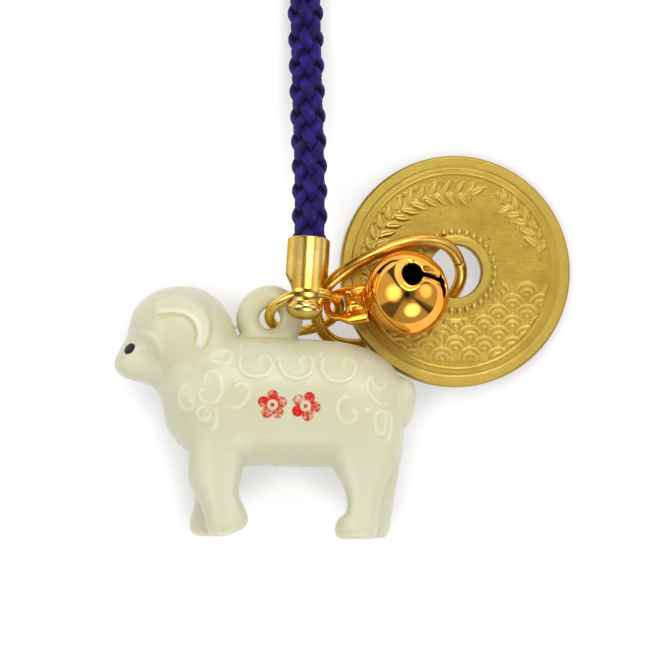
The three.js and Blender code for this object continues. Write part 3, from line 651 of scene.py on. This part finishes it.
drag = put(tree, "Mapping", place, Rotation=(0, 0, 0.7), Scale=(0.5, 6, 1))
hair = put(tree, "TexNoise", drag, Scale=0.9 / MM, Detail=3.0, Roughness=0.6)
fine = put(tree, "Math", hair, 0.8, grit, operation="MULTIPLY_ADD")
put(
    tree, surface, Base_Color=tone, Metallic=1.0, Roughness=put(tree, "MapRange", cloud, 0.3, 0.7, 0.46, 0.34),
    Normal=put(tree, "Bump", Strength=0.5, Distance=0.04 * MM, Height=fine),
)
coin_middle, coin_normal = np.array([10.659, 7.351, 2.264]), unit(np.array([0.125, 0.060, 0.990]))
raised = math.radians(205.7)
across = np.array([-math.sin(raised), math.cos(raised), 0.0])
coin_axes = np.stack([np.cross(across, coin_normal), across, coin_normal])


def coin_side(relief, sides, rings, way):
    """One face of the coin on a polar grid: the stepped profile of rim, ledge, field and collar, with the
    struck relief on the field."""
    rim_width, ledge_width, collar_width = 1.05, 1.75, 0.86
    r = np.linspace(coin_hole + hole_ease, coin_radius - rim_ease, rings)
    rim, collar = coin_radius - r, r - coin_hole
    profile = 0.05 * ramp(-rim, -rim_width, 0.02) - 0.03 * hump(rim - 1.12, 0.05)
    profile += 0.02 * ramp(-rim, -ledge_width, 0.03) + 0.03 * hump(rim - ledge_width, 0.06)
    profile += 0.07 * ramp(-collar, -collar_width, 0.03)
    field = ramp(collar, 0.9, 0.03) * ramp(rim, 1.95, 0.03)
    upright = ring_angles(sides)[:, None] + raised
    height = relief(np.cos(upright) * r, np.sin(upright) * r) * field
    return wheel(r, way * (coin_half - field_sunk + profile + coin_relief * height), sides)


front = coin_side(coin_front, sides=620, rings=124, way=1)
back = coin_side(coin_back, sides=310, rings=60, way=-1)


def coin_edge(column, radius, bulge):
    """The band between the two faces: it leaves each face in a rounded corner and is straight between them."""
    h = np.concatenate([np.linspace(0, 1, 6) ** 1.6 * 0.16, np.linspace(0.84, 1, 6)])
    z = front[::2, column, 2:] * (1 - h) + back[:, column, 2:] * h
    return wheel(radius + bulge * (1 - np.abs(2 * h - 1) ** 6), z, 310)


coin_piece = mesh_piece("holed_coin", [
    grid_of(local @ coin_axes + coin_middle, (True, False), span) for local, span in (
        (front, (60, 8.5)), (back[:, ::-1], (60, 8.5)),
        (coin_edge(-1, coin_radius - rim_ease, rim_ease), (69, 1.5)),
        (coin_edge(0, coin_hole + hole_ease, -hole_ease), (16, 1.5)),
    )
], [coin_metal])
strike = coin_piece.data.attributes.new("strike", "FLOAT", "POINT")
spots = np.empty(len(coin_piece.data.vertices) * 3)
coin_piece.data.vertices.foreach_get("co", spots)
lift = np.abs((spots.reshape(-1, 3) / MM - coin_middle) @ coin_axes[2]) - coin_half + field_sunk
strike.data.foreach_set("value", np.clip(lift / coin_relief, 0, 1).astype(np.float32))
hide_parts("coin")
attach(coin_piece, "coin_body")

# Bell: two halves pressed from thin brass, plated a deep orange gold and polished to a mirror. The front half
# has two round holes joined by a slit, and its cut edge is turned in; the halves meet in a fine seam. A cast
# loop with a flared foot is riveted to the crown, and a steel pellet rattles inside.

# Orange gold plate over polished brass, lacquered: a mirror, with a faint ripple from the pressing.
bell_metal, tree, surface = new_material("mirror_polished_orange_gold_plate")
place = put(tree, "TexCoord").outputs["Object"]
cloud = put(tree, "TexNoise", place, Scale=0.3 / MM, Detail=2.0)
ripple = put(tree, "TexNoise", place, Scale=0.55 / MM, Detail=2.0, Roughness=0.4)
smear = put(tree, "TexNoise", place, Scale=1.2 / MM, Detail=5.0, Roughness=0.7)
put(
    tree, surface, Base_Color=put(tree, "ValToRGB", cloud, stops=[(0.3, "#efa02a"), (0.65, "#f7b446")]),
    Metallic=1.0, Roughness=put(tree, "MapRange", smear, 0.35, 0.75, 0.05, 0.12), Specular_Tint="#ffcf86",
    Coat_Weight=0.5, Coat_Roughness=0.03,
    Normal=put(tree, "Bump", Strength=0.1, Distance=0.1 * MM, Height=ripple),
)

# Inside of the pressed shells: the plating doesn't reach it, so the brass is dark brown with oxide.
bell_inside, tree, surface = new_material("oxidised_brass_inside")
stain = put(tree, "TexNoise", put(tree, "TexCoord").outputs["Object"], Scale=0.8 / MM, Detail=4.0)
put(
    tree, surface, Base_Color=put(tree, "ValToRGB", stain, stops=[(0.35, "#140d05"), (0.7, "#2c1c0a")]),
    Roughness=0.7, Specular_IOR_Level=0.2,
)
bell_middle, bell_radius, bell_wall, turned_in = np.array([6.134, 5.287, 7.905]), 4.0, 0.35, 0.17
bell_axes = axes_along((0.927, 0.155, 0.341))
mouth_turn, mouth_rise, seam_low, seam_gap = (math.radians(v) for v in (34.1, 41.4, 7, 0.75))
mouth_level = np.array([math.cos(mouth_turn), math.sin(mouth_turn), 0])
mouth_axes = axes_along(swept(mouth_rise, mouth_level, np.array([0, 0, 1])))
slit_turn, slit_reach = math.radians(47.5), math.radians(31)
slit_half, slit_hole, hole_stretch = 0.27, 1.1, 1.25


def shell_patches(opening, seam):
    """Half a hollow ball between two rings of directions that pair up one to one: the rim of its opening and
    its seam. Each meridian is the great circle between the pair. The wall goes from the seam over the outside,
    round the opening's edge in a half circle, back inside, and round the seam's edge. Near the opening the
    whole wall sinks by a bell curve of the distance to it."""
    rows = 56
    spread = np.arccos(np.clip((opening * seam).sum(1), -1, 1))[:, None]
    off = unit(seam - np.cos(spread) * opening)
    lip = bell_wall / 2 / bell_radius
    t = (1 - np.cos(np.linspace(0, np.pi, rows))) / 2
    walk = spread - t * (spread - lip)
    a = np.linspace(0, np.pi, 12)[1:-1]
    round_lip = lip * (1 - np.sin(a)) + 0 * spread
    round_seam = spread + 0.35 * lip * np.sin(a)
    middle, half = bell_radius - bell_wall / 2, bell_wall / 2
    outside = np.concatenate([walk, round_lip, walk[:, ::-1], round_seam], 1)
    radius = np.concatenate([
        np.full(rows, bell_radius), middle + half * np.cos(a), np.full(rows, bell_radius - bell_wall),
        middle - half * np.cos(a),
    ])
    sunk = turned_in * hump(outside - lip, 0.36 / bell_radius)
    points = bell_middle + (radius - sunk)[..., None] * swept(outside, opening[:, None], off[:, None])
    split = rows + 7
    back = np.concatenate([points[:, split - 1:], points[:, :1]], 1)
    return [
        grid_of(points[:, :split], (True, False), (25, 6)), grid_of(back, (True, False), (25, 6), part=1)
    ]


def slit_outline():
    """The opening as angles (along, across) from the mouth's pole: a slit that runs into a round hole at each
    end, with its corners eased by repeated averaging of neighbours; and the seam angle that pairs with each
    point. One quarter is worked out and mirrored."""
    s, c, hole = slit_half / bell_radius, slit_reach, slit_hole / bell_radius
    slit_steps, hole_steps, easing_rounds = 24, 52, 14
    near = c - math.sqrt(hole**2 - s**2)
    first = math.pi - math.asin(s / hole)
    x = np.linspace(0, near, slit_steps, endpoint=False)
    q = np.linspace(first, 0, hole_steps, endpoint=False)
    tall = 1 + (hole_stretch - 1) * np.sin(q / first * math.pi) ** 0.7
    quarter = np.concatenate([
        np.stack([x, np.full(slit_steps, s)], 1), np.stack([c + hole * np.cos(q), tall * hole * np.sin(q)], 1)
    ])
    angle = np.concatenate([math.radians(90) - x / near * math.radians(16), math.radians(74) * q / first])
    end = np.array([[c + hole, 0.0]])
    right = np.concatenate([quarter, end, quarter[:0:-1] * [1, -1]])
    right_angle = np.concatenate([angle, [0.0], -angle[:0:-1]])
    line = np.concatenate([right, -right])
    turn = np.concatenate([right_angle, right_angle - math.pi])
    for _ in range(easing_rounds):
        line = (np.roll(line, 1, 0) + 2 * line + np.roll(line, -1, 0)) / 4
    return line, turn


slit_along = swept(slit_turn, mouth_axes[0], mouth_axes[1])
slit_across = np.cross(mouth_axes[2], slit_along)
line, turn = slit_outline()
opening = swept(line[:, 1], swept(line[:, 0], mouth_axes[2], slit_along), slit_across)
seam = swept(math.pi / 2 + seam_low - seam_gap, mouth_axes[2], swept(turn, slit_along, slit_across))
bell_front = mesh_piece("bell_front_half", shell_patches(opening, seam), [bell_metal, bell_inside])
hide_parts("bell_lower_shell")
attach(bell_front, "bell")

# Crown half: pressed as the front half is, in the same plate. Its opening is the small round rivet hole under
# the loop's foot.
back_pole, crown, rivet = -mouth_axes[2], -bell_axes[2], 0.52 / bell_radius
towards = unit(crown - (crown @ back_pole) * back_pole)
beside = np.cross(back_pole, towards)
q = ring_angles(240)
opening = swept(rivet, crown, swept(q, np.cross(beside, crown), beside))
seam = swept(math.pi / 2 - seam_low - seam_gap, back_pole, swept(q, towards, beside))
bell_back = mesh_piece("bell_back_half", shell_patches(opening, seam), [bell_metal, bell_inside])
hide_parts("bell_upper_shell")
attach(bell_back, "bell")

# Hanger: a cast brass loop with a web down to a flared foot, fettled smooth and plated with the bell. Its
# shank is clinched inside the crown.


def fused(name, patches, voxel, materials):
    """Melts overlapping closed forms into one skin of even small faces, and returns the piece."""
    piece = mesh_piece(name, patches, materials)
    reworked(piece, "REMESH", mode="VOXEL", voxel_size=voxel * MM)
    piece.data.name = name
    piece.data.shade_smooth()
    return piece


def skin_of(piece):
    """Points in millimetres, outward directions, and the pairs of points that an edge joins."""
    mesh = piece.data
    points = np.empty(len(mesh.vertices) * 3)
    mesh.vertices.foreach_get("co", points)
    away = np.empty(len(mesh.vertices) * 3, np.float32)
    mesh.vertex_normals.foreach_get("vector", away)
    pairs = np.empty(len(mesh.edges) * 2, np.int32)
    mesh.edges.foreach_get("vertices", pairs)
    return points.reshape(-1, 3) / MM, away.reshape(-1, 3).astype(float), pairs.reshape(-1, 2)


def averaged(values, pairs, rounds, amount=0.5):
    """Moves each point's values towards the mean of its neighbours, round after round, by the given amount."""
    n, (one, other) = len(values), pairs.T
    count = np.bincount(pairs.ravel(), minlength=n)[:, None]
    for _ in range(rounds):
        total = np.stack([
            np.bincount(one, values[other, k], n) + np.bincount(other, values[one, k], n)
            for k in range(values.shape[1])
        ], 1)
        values = values + amount * (total / count - values)
    return values


def set_points(piece, points):
    """Moves the piece's points, which are given in millimetres."""
    piece.data.vertices.foreach_set("co", (points * MM).ravel())
    piece.data.update()


loop_radius, loop_thick, hanger_reach = 1.24, 0.72, 6.94
loop_turn = math.radians(90 + 71.9)
loop_middle = bell_middle - hanger_reach * bell_axes[2]
loop_way = swept(loop_turn, bell_axes[0], bell_axes[1])
loop_normal = np.cross(bell_axes[2], loop_way)
out = swept(ring_angles(120), loop_way, bell_axes[2])
loop_line = loop_middle + loop_radius * out
loop = tube_patch(loop_line, out, loop_normal, loop_thick / 2, loop_thick / 2, 28, wrap=True)
foot = math.sqrt((bell_radius + 0.06) ** 2 - 1.2**2)
neck = [
    (0, -hanger_reach + loop_radius), (0.5, -hanger_reach + loop_radius), (0.5, -5.2), (0.56, -4.8),
    (0.78, -4.4), (1.2, -foot - 0.12), (1.2, -foot), (0.4, -bell_radius - 0.06), (0.4, -3.56), (0.8, -3.45),
    (0.8, -3.25), (0, -3.25),
]
t, web_from, web_to = np.linspace(0, 1, 30), 1.0, foot + 0.05
web_run = hanger_reach - web_from + t[:, None] * (web_to - hanger_reach + web_from)
web_line = bell_middle - web_run * bell_axes[2]
web = tube_patch(web_line, loop_way, loop_normal, 1.16 + 0.24 * t, 0.3 + 0.06 * t, 40, 3.5)
arms, lower = [], -np.sign(loop_way[1])
for side, stout in ((lower, 0.28), (-lower, 0.0)):
    swell = stout * np.minimum(3 * t, 1)
    line = bell_middle - (hanger_reach - t * (hanger_reach - foot - 0.05))[:, None] * bell_axes[2]
    line = line + side * (loop_radius + swell)[:, None] * loop_way
    arms.append(tube_patch(line, loop_way, loop_normal, 0.36 + swell + 0.06 * t, 0.38 + 0.1 * t, 24))
stalk = turned_patch(eased(neck, 0.1), bell_axes, bell_middle, 64)
hanger = fused("bell_loop", [loop, web, *arms, stalk], voxel=0.062, materials=[bell_metal])
points, _, pairs = skin_of(hanger)
set_points(hanger, averaged(points, pairs, rounds=10, amount=0.4))
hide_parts("bell_hanger")
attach(hanger, "bell")

# Pellet: a small steel ball, tumbled to a half-matt grey, with the two flats that the header leaves. It lies
# loose in the bell.
steel, tree, surface = new_material("tumbled_steel")
pits = put(tree, "TexNoise", put(tree, "TexCoord").outputs["Object"], Scale=2.5 / MM, Detail=5.0, Roughness=0.7)
put(
    tree, surface, Base_Color=put(tree, "ValToRGB", pits, stops=[(0.35, "#6d6a66"), (0.6, "#a3a09b")]),
    Metallic=1.0, Roughness=0.38, Normal=put(tree, "Bump", Strength=0.2, Distance=0.03 * MM, Height=pits),
)
pellet_radius, flat_at, pellet_gap = 1.1, 1.06, 0.1
q = np.linspace(0, math.pi, 40)
ball = np.stack([pellet_radius * np.sin(q), np.clip(-pellet_radius * np.cos(q), -flat_at, flat_at)], 1)
rest = bell_middle - [0, 0, bell_radius - bell_wall - pellet_radius - pellet_gap]
pellet = mesh_piece("bell_ball", [turned_patch(ball, axes_along((0.6, 0.7, 0.4)), rest, 64)], [steel], sharp=40)
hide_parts("bell_pellet")
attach(pellet, "pellet")

# Sheep: one moulded piece of ivory resin, waxy and slightly clear, that lies on its side. Raised curls mark the
# fleece on both flanks, a ram's horn lies on each side of the head, the eyes are painted black, and a red
# stamp of two plum blossoms is printed on the upper flank. A thick eyelet is moulded on its back.
nose_x, sole_y, sheep_length, sheep_height, sheep_thick, widest = -21.6, -17.9, 28.6, 23.85, 11.0, 6.1


def on_sheep(shares):
    """Places given as shares of the sheep's length and height, from the nose and the soles."""
    return np.array([(nose_x + a * sheep_length, sole_y + b * sheep_height, 0) for a, b in shares])


def soft_form(outline, spine, heights, powers):
    """A pillow: each ring is the outline drawn in towards the spine. The share that is left falls as the side
    of a superellipse does, from 1 at the widest height to flat at the top and bottom."""
    flat = 0.3
    line = smooth_route(on_sheep(outline), 0.2, closed=True)[0][:-1]
    a, b = on_sheep(spine)
    along = np.clip(((line - a) @ (b - a)) / max((b - a) @ (b - a), 1e-9), 0, 1)[:, None]
    foot = a + along * (b - a)
    low, middle, high = [h * sheep_thick for h in heights]
    rings = []
    for end, power in ((low, powers[0]), (high, powers[1])):
        last = math.acos(flat ** (power / 2))
        angle = np.linspace(0, last, 20)
        rise = (np.sin(angle) / math.sin(last)) ** (2 / power)
        share = np.cos(angle) ** (2 / power)
        rings.append([(middle + (end - middle) * r, s) for r, s in zip(rise, share)])
    levels = [(low, 0.0), *rings[0][::-1], *rings[1][1:], (high, 0.0)]
    points = np.stack([foot + (line - foot) * share + [0, 0, z] for z, share in levels], 1)
    return grid_of(points, (True, False))


body = soft_form(
    [
        (0.34, 0.82), (0.42, 0.8), (0.5, 0.797), (0.58, 0.793), (0.686, 0.787), (0.776, 0.774), (0.853, 0.745),
        (0.902, 0.707), (0.937, 0.657), (0.955, 0.6), (0.961, 0.5), (0.958, 0.397), (0.94, 0.318),
        (0.87, 0.281), (0.74, 0.284), (0.623, 0.284), (0.441, 0.289), (0.33, 0.295), (0.262, 0.325),
        (0.235, 0.352), (0.193, 0.405), (0.168, 0.469), (0.162, 0.52), (0.15, 0.572), (0.13, 0.615),
        (0.17, 0.7), (0.25, 0.78),
    ],
    [(0.37, 0.54), (0.77, 0.53)], (0, widest / sheep_thick, 1), (1.7, 2.2),
)
fleece_cap = soft_form(
    [
        (0.055, 0.85), (0.064, 0.9), (0.092, 0.941), (0.134, 0.979), (0.183, 0.996), (0.232, 1), (0.281, 0.992),
        (0.322, 0.966), (0.357, 0.933), (0.379, 0.891), (0.399, 0.837), (0.41, 0.74), (0.37, 0.64),
        (0.29, 0.58), (0.2, 0.59), (0.13, 0.66), (0.08, 0.75),
    ],
    [(0.2, 0.83), (0.27, 0.79)], (0.07, 0.54, 0.94), (2, 2),
)
face = soft_form(
    [
        (0.055, 0.849), (0.043, 0.799), (0.015, 0.74), (0, 0.69), (0.008, 0.665), (0.03, 0.64), (0.064, 0.627),
        (0.113, 0.611), (0.141, 0.59), (0.19, 0.6), (0.21, 0.69), (0.2, 0.79), (0.12, 0.86),
    ],
    [(0.07, 0.7), (0.14, 0.74)], (0.24, 0.54, 0.8), (2, 2),
)
near_foreleg = soft_form(
    [
        (0.25, 0.5), (0.25, 0.4), (0.247, 0.31), (0.249, 0.22), (0.271, 0.168), (0.294, 0.12), (0.304, 0.07),
        (0.31, 0.03), (0.33, 0.012), (0.37, 0.012), (0.4, 0.026), (0.436, 0.048), (0.446, 0.075),
        (0.434, 0.121), (0.413, 0.18), (0.42, 0.23), (0.429, 0.28), (0.44, 0.38), (0.45, 0.5),
        (0.4, 0.6), (0.3, 0.6),
    ],
    [(0.345, 0.46), (0.37, 0.02)], (0.48, 0.72, 0.955), (2.4, 2.4),
)
far_foreleg = soft_form(
    [
        (0.258, 0.36), (0.246, 0.27), (0.246, 0.221), (0.267, 0.163), (0.263, 0.121), (0.25, 0.07),
        (0.251, 0.035), (0.268, 0.012), (0.3, 0.008), (0.34, 0.012), (0.358, 0.05), (0.357, 0.13),
        (0.367, 0.23), (0.378, 0.35),
    ],
    [(0.31, 0.34), (0.305, 0.02)], (0.06, 0.28, 0.52), (2.4, 2.4),
)
near_hindleg = soft_form(
    [
        (0.7, 0.52), (0.69, 0.4), (0.727, 0.272), (0.748, 0.23), (0.766, 0.18), (0.766, 0.105), (0.741, 0.079),
        (0.73, 0.04), (0.734, 0.016), (0.752, -0.003), (0.8, -0.006), (0.85, -0.003), (0.869, 0.02),
        (0.873, 0.06), (0.876, 0.12), (0.892, 0.192), (0.92, 0.272), (0.945, 0.36), (0.95, 0.48), (0.9, 0.58),
        (0.78, 0.6),
    ],
    [(0.82, 0.46), (0.81, 0.03)], (0.48, 0.72, 0.955), (2.4, 2.4),
)
far_hindleg = soft_form(
    [
        (0.766, 0.36), (0.789, 0.23), (0.809, 0.13), (0.812, 0.05), (0.822, 0.01), (0.85, -0.004),
        (0.885, -0.002), (0.905, 0.012), (0.915, 0.062), (0.926, 0.146), (0.938, 0.23), (0.949, 0.314),
        (0.955, 0.38),
    ],
    [(0.87, 0.36), (0.865, 0.03)], (0.06, 0.28, 0.52), (2.4, 2.4),
)
tail = soft_form(
    [
        (0.93, 0.64), (0.972, 0.636), (0.993, 0.611), (1, 0.573), (0.993, 0.498), (0.979, 0.46), (0.961, 0.443),
        (0.93, 0.45), (0.92, 0.54),
    ],
    [(0.95, 0.58), (0.95, 0.5)], (0.32, 0.56, 0.78), (2, 2),
)
eyelet_radius, eyelet_tube = 2.08, 2.2
out = swept(ring_angles(120), np.array([1, 0, 0]), np.array([0, 1, 0]))
eyelet = tube_patch(
    eyelet_middle + eyelet_radius * out, out, (0, 0, 1), eyelet_tube / 2, eyelet_tube / 2, 32, wrap=True
)


def on_flank(points):
    """Places on the flank from pixels of the photograph, in which Y runs downwards."""
    pixels_per_mm, zero_x, zero_y = 10.55, 342.2, 349.2
    p = np.array(points, float)
    return np.stack([(p[:, 0] - zero_x) / pixels_per_mm, (zero_y - p[:, 1]) / pixels_per_mm], 1)


# In pixels: the curls of the fleece, each from its inner end outwards, and what else is raised or pressed in
# the flank.
curls = [
    [(222, 354), (225, 350), (231, 351), (233, 357), (228, 362), (218, 362), (210, 358)],
    [
        (262, 366), (259, 361), (263, 356), (269, 357), (272, 364), (268, 373), (257, 376), (246, 373),
        (240, 364), (242, 356), (247, 353)
    ],
    [
        (303, 367), (300, 362), (303, 357), (309, 357), (313, 364), (309, 374), (298, 378), (286, 374),
        (280, 364), (281, 357), (286, 354)
    ],
    [
        (346, 369), (343, 364), (346, 358), (352, 359), (356, 366), (352, 376), (341, 381), (328, 378),
        (322, 368), (323, 360), (330, 356)
    ],
    [
        (379, 379), (384, 382), (383, 387), (378, 388), (373, 383), (371, 377), (367, 384), (369, 392),
        (375, 400), (384, 404), (389, 402)
    ],
    [(188, 403), (192, 400), (194, 404), (191, 409), (184, 408), (180, 400), (182, 389), (189, 381)],
    [
        (210, 382), (206, 379), (208, 373), (215, 371), (221, 377), (223, 387), (221, 396), (214, 403),
        (206, 402), (200, 396), (202, 390), (207, 390), (208, 394)
    ],
    [
        (205, 416), (204, 412), (209, 411), (211, 415), (207, 420), (200, 418), (199, 410), (206, 406),
        (215, 408), (218, 416), (215, 426), (209, 434)
    ],
    [
        (238, 389), (241, 391), (245, 388), (243, 384), (237, 386), (238, 384), (246, 384), (250, 391),
        (247, 400), (238, 407), (229, 406)
    ],
    [
        (348, 412), (353, 410), (356, 415), (352, 421), (344, 421), (338, 413), (339, 402), (345, 397),
        (349, 400)
    ],
    [
        (380, 418), (386, 416), (385, 424), (383, 433), (378, 432), (375, 423), (376, 414), (382, 411),
        (390, 415), (391, 427), (388, 438), (382, 444)
    ],
]
curl_height, curl_half = 0.1, 0.2
studs, dimple = [(242, 346), (278.5, 351), (321, 354), (367, 360.5), (367, 410)], (197, 366.5)
horn_crest = [
    (151, 313), (163, 308), (176, 306), (189, 308.5), (198.5, 315.5), (203.5, 326), (203, 337), (197, 350)
]
cheek_edge = [(128, 330), (137, 329), (147, 330.5), (156, 335), (163, 344), (164.5, 354), (161, 362)]
eye_place, eye_long, eye_short, eye_turn = on_flank([(130.4, 348.7)])[0], 0.6, 0.4, math.radians(45)


def line_gap(x, y, points, reach):
    """Distance from each place to a smooth line through the points, its side (positive on the left of its
    run) and how far along it the nearest point lies, from 0 to 1. Far places get a gap beyond reach."""
    line = smooth_route(np.concatenate([on_flank(points), np.zeros((len(points), 1))], 1), 0.08)[0][:, :2]
    gap, side, share = np.full(len(x), 2 * reach), np.ones(len(x)), np.zeros(len(x))
    low, high = line.min(0) - reach, line.max(0) + reach
    near = np.flatnonzero((x > low[0]) & (x < high[0]) & (y > low[1]) & (y < high[1]))
    for block in np.array_split(near, max(1, len(near) // 4000)):
        dx, dy = x[block][:, None] - line[None, :, 0], y[block][:, None] - line[None, :, 1]
        gaps = np.hypot(dx, dy)
        k = gaps.argmin(1)
        rows = np.arange(len(block))
        ahead = np.gradient(line, axis=0)[k]
        gap[block] = gaps[rows, k]
        side[block] = np.sign(ahead[:, 0] * dy[rows, k] - ahead[:, 1] * dx[rows, k])
        share[block] = k / (len(line) - 1)
    return gap, side, share


def eased_step(share):
    """Rises from 0 to 1 with level ends: 3 share squared minus 2 share cubed."""
    return 3 * share**2 - 2 * share**3


def fleece_relief(x, y):
    """Height of the moulded detail over the smooth body, in millimetres, at places on the flank."""
    height = np.zeros(len(x))
    for curl in curls:
        gap, _, share = line_gap(x, y, curl, 0.6)
        taper = np.clip(np.minimum(share, 1 - share) / 0.1, 0.35, 1)
        height = np.maximum(height, curl_height * taper * hump(gap, curl_half))
    for stud in on_flank(studs):
        height = np.maximum(height, curl_height * hump(np.hypot(x - stud[0], y - stud[1]), curl_half))
    gap, side, share = line_gap(x, y, horn_crest, 2.2)
    half = 0.42 + 0.5 * np.sin(np.pi * share**0.85)
    ends = np.clip(share / 0.14, 0, 1) * np.clip((1 - share) / 0.1, 0, 1)
    flank = np.where(side < 0, np.clip((half - gap) / 0.26, 0, 1), np.clip(1.25 - gap / half, 0, 1) ** 0.8)
    height = height + 0.42 * eased_step(ends) * eased_step(flank)
    gap, side, share = line_gap(x, y, cheek_edge, 5.0)
    fade = np.clip(share / 0.12, 0, 1) * np.clip((1 - share) / 0.25, 0, 1)
    height = height + 0.17 * fade * ramp(-side * gap, 0, 0.09) * np.exp(-gap / 1.8)
    pit = on_flank([dimple])[0]
    height = height - 0.06 * hump(np.hypot(x - pit[0], y - pit[1]), 0.28)
    return height + 0.06 * hump(np.hypot(x - eye_place[0], y - eye_place[1]), 0.62, 4)


# Cast polyester resin coloured as ivory: light goes a millimetre or two into it, so shadows are warm and
# hollows look yellow. The skin is half-gloss from the mould, with faint flow marks and tiny specks. Painted
# shade makes the hollows a darker yellow, and painted light makes the raised places paler. The eyes are black
# gloss paint; the stamp is red ink, thin and broken.
ivory, tree, surface = new_material("ivory_cast_resin")
place = put(tree, "TexCoord").outputs["Object"]
hollow = put(tree, "Attribute", attribute_name="hollow").outputs["Fac"]
cloud = put(tree, "TexNoise", place, Scale=0.14 / MM, Detail=4.0, Roughness=0.55)
speck = put(tree, "TexVoronoi", place, Scale=0.45 / MM)
skin = put(tree, "ValToRGB", cloud, stops=[(0.3, "#d3cea9"), (0.5, "#d3d1b2"), (0.7, "#d2d4bc")])
# Painted shade and light: hollows are mixed towards a darker yellow, and raised places towards a paler ivory.
for share, colour in (
    (put(tree, "MapRange", hollow, 0.5, 0.8, To_Max=0.8), "#cfcb92"),
    (put(tree, "MapRange", hollow, 0.47, 0.25), "#e2e0c8"),
    (put(tree, "MapRange", speck, 0.02, 0.045, 0.45, 0.0), "#8d7b3e"),
):
    skin = put(tree, "Mix", share, skin, colour, data_type="RGBA")

# Stamp: each blossom is five round petals round a bare ring and a dot, and wear leaves gaps in the ink.
flat = put(tree, "VectorMath", place, (1 / MM, 1 / MM, 0), operation="MULTIPLY")
petals, hearts, petal_out, stamp_over = 9.0, 9.0, 0.88, 8.0 * MM
blossoms, blossom_turns = [(272.8, 404.3), (305.8, 405.6)], (0.3, -0.1)
for (heart_x, heart_y), turn in zip(on_flank(blossoms), blossom_turns):
    for way in turn + ring_angles(5):
        petal = (heart_x + petal_out * math.cos(way), heart_y + petal_out * math.sin(way), 0)
        gap = put(tree, "VectorMath", flat, petal, operation="DISTANCE")
        petals = put(tree, "Math", gap, petals, operation="MINIMUM")
    gap = put(tree, "VectorMath", flat, (heart_x, heart_y, 0), operation="DISTANCE")
    hearts = put(tree, "Math", gap, hearts, operation="MINIMUM")
ring = put(tree, "Math", hearts, 0.44, 0.07, operation="COMPARE")
inked = put(tree, "MapRange", petals, 0.56, 0.52)
inked = put(tree, "Math", inked, ring, operation="SUBTRACT", use_clamp=True)
inked = put(tree, "Math", inked, put(tree, "MapRange", hearts, 0.22, 0.18), operation="MAXIMUM")
grain = put(tree, "TexNoise", place, Scale=3.2 / MM, Detail=6.0, Roughness=0.8)
patchy = put(tree, "TexNoise", place, Scale=0.75 / MM, Detail=3.0)
thin = put(tree, "Math", patchy, 0.8, grain, operation="MULTIPLY_ADD")
kept = put(tree, "MapRange", thin, 0.72, 0.9, 0.15, 1.0)
upper = put(tree, "MapRange", put(tree, "SeparateXYZ", place).outputs["Z"], stamp_over, stamp_over + 0.2 * MM)
kept = put(tree, "Math", kept, upper, operation="MULTIPLY")
ink = put(tree, "Math", inked, kept, operation="MULTIPLY")
skin = put(tree, "Mix", ink, skin, "#cc1a0c", data_type="RGBA")
waxy = put(tree, "MapRange", ink, To_Min=0.45, To_Max=0.0)

# Eyes: a slanted oval of black paint with a wavering edge, on both sides of the head.
waver = put(tree, "TexNoise", place, Scale=2.2 / MM, Detail=2.0)
from_eye = put(tree, "VectorMath", flat, (*eye_place, 0), operation="SUBTRACT")
turned = put(tree, "VectorRotate", from_eye, Angle=-eye_turn, rotation_type="Z_AXIS")
oval = put(tree, "VectorMath", turned, (eye_long, eye_short, 1), operation="DIVIDE")
oval = put(tree, "VectorMath", oval, operation="LENGTH")
oval = put(tree, "Math", waver, 0.3, oval, operation="MULTIPLY_ADD")
black = put(tree, "MapRange", oval, 1.12, 1.2, 1.0, 0.0)
flow = put(tree, "TexNoise", place, Scale=0.5 / MM, Detail=5.0, Roughness=0.6)
grit = put(tree, "TexNoise", place, Scale=4.0 / MM, Detail=3.0, Roughness=0.6)
both = put(tree, "Math", grit, 0.25, flow, operation="MULTIPLY_ADD")
put(
    tree, surface, Base_Color=put(tree, "Mix", black, skin, "#060606", data_type="RGBA"), IOR=1.5,
    Roughness=put(tree, "MapRange", flow, 0.3, 0.7, 0.27, 0.31),
    Subsurface_Weight=put(tree, "Math", waxy, black, operation="SUBTRACT", use_clamp=True),
    Subsurface_Radius=(1.0, 0.85, 0.45), Subsurface_Scale=1.6 * MM,
    Normal=put(tree, "Bump", Strength=0.03, Distance=0.08 * MM, Height=both),
)

# The forms are fused, and melt into each other where the skin faces up or down; the outline stays. The detail
# is then raised on the flanks, clear of the eyelet.
legs = [near_foreleg, far_foreleg, near_hindleg, far_hindleg]
melt_rounds, smooth_rounds, dip_rounds, dip_reach, eyelet_clear = 170, 4, 12, 0.12, 3.3
sheep = fused("resin_sheep", [body, fleece_cap, face, *legs, tail, eyelet], voxel=0.145, materials=[ivory])
points, away, pairs = skin_of(sheep)
loose = np.clip(np.abs(away[:, 2:]) * 1.25 - 0.1, 0, 1)
melted = averaged(points, pairs, melt_rounds)
points = averaged(points + loose * (melted - points), pairs, smooth_rounds)
set_points(sheep, points)
points, away, pairs = skin_of(sheep)
relief = fleece_relief(points[:, 0], points[:, 1])[:, None]
facing = np.clip((np.abs(away[:, 2:]) - 0.15) / 0.35, 0, 1)
on_body = np.hypot(*(points[:, :2] - eyelet_middle[:2]).T)[:, None] > eyelet_clear
points = np.maximum(points + relief * facing * on_body * away, [-np.inf, sole_y, 0.0])
set_points(sheep, points)
points, away, pairs = skin_of(sheep)
# This hollow measure drives the painted shade in the hollows and the painted light on the raised places.
dip = ((averaged(points, pairs, dip_rounds) - points) * away).sum(1)
hollow = sheep.data.attributes.new("hollow", "FLOAT", "POINT")
hollow.data.foreach_set("value", np.clip(0.5 + dip / dip_reach * 0.5, 0, 1).astype(np.float32))
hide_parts("sheep_figure")
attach(sheep, "sheep")
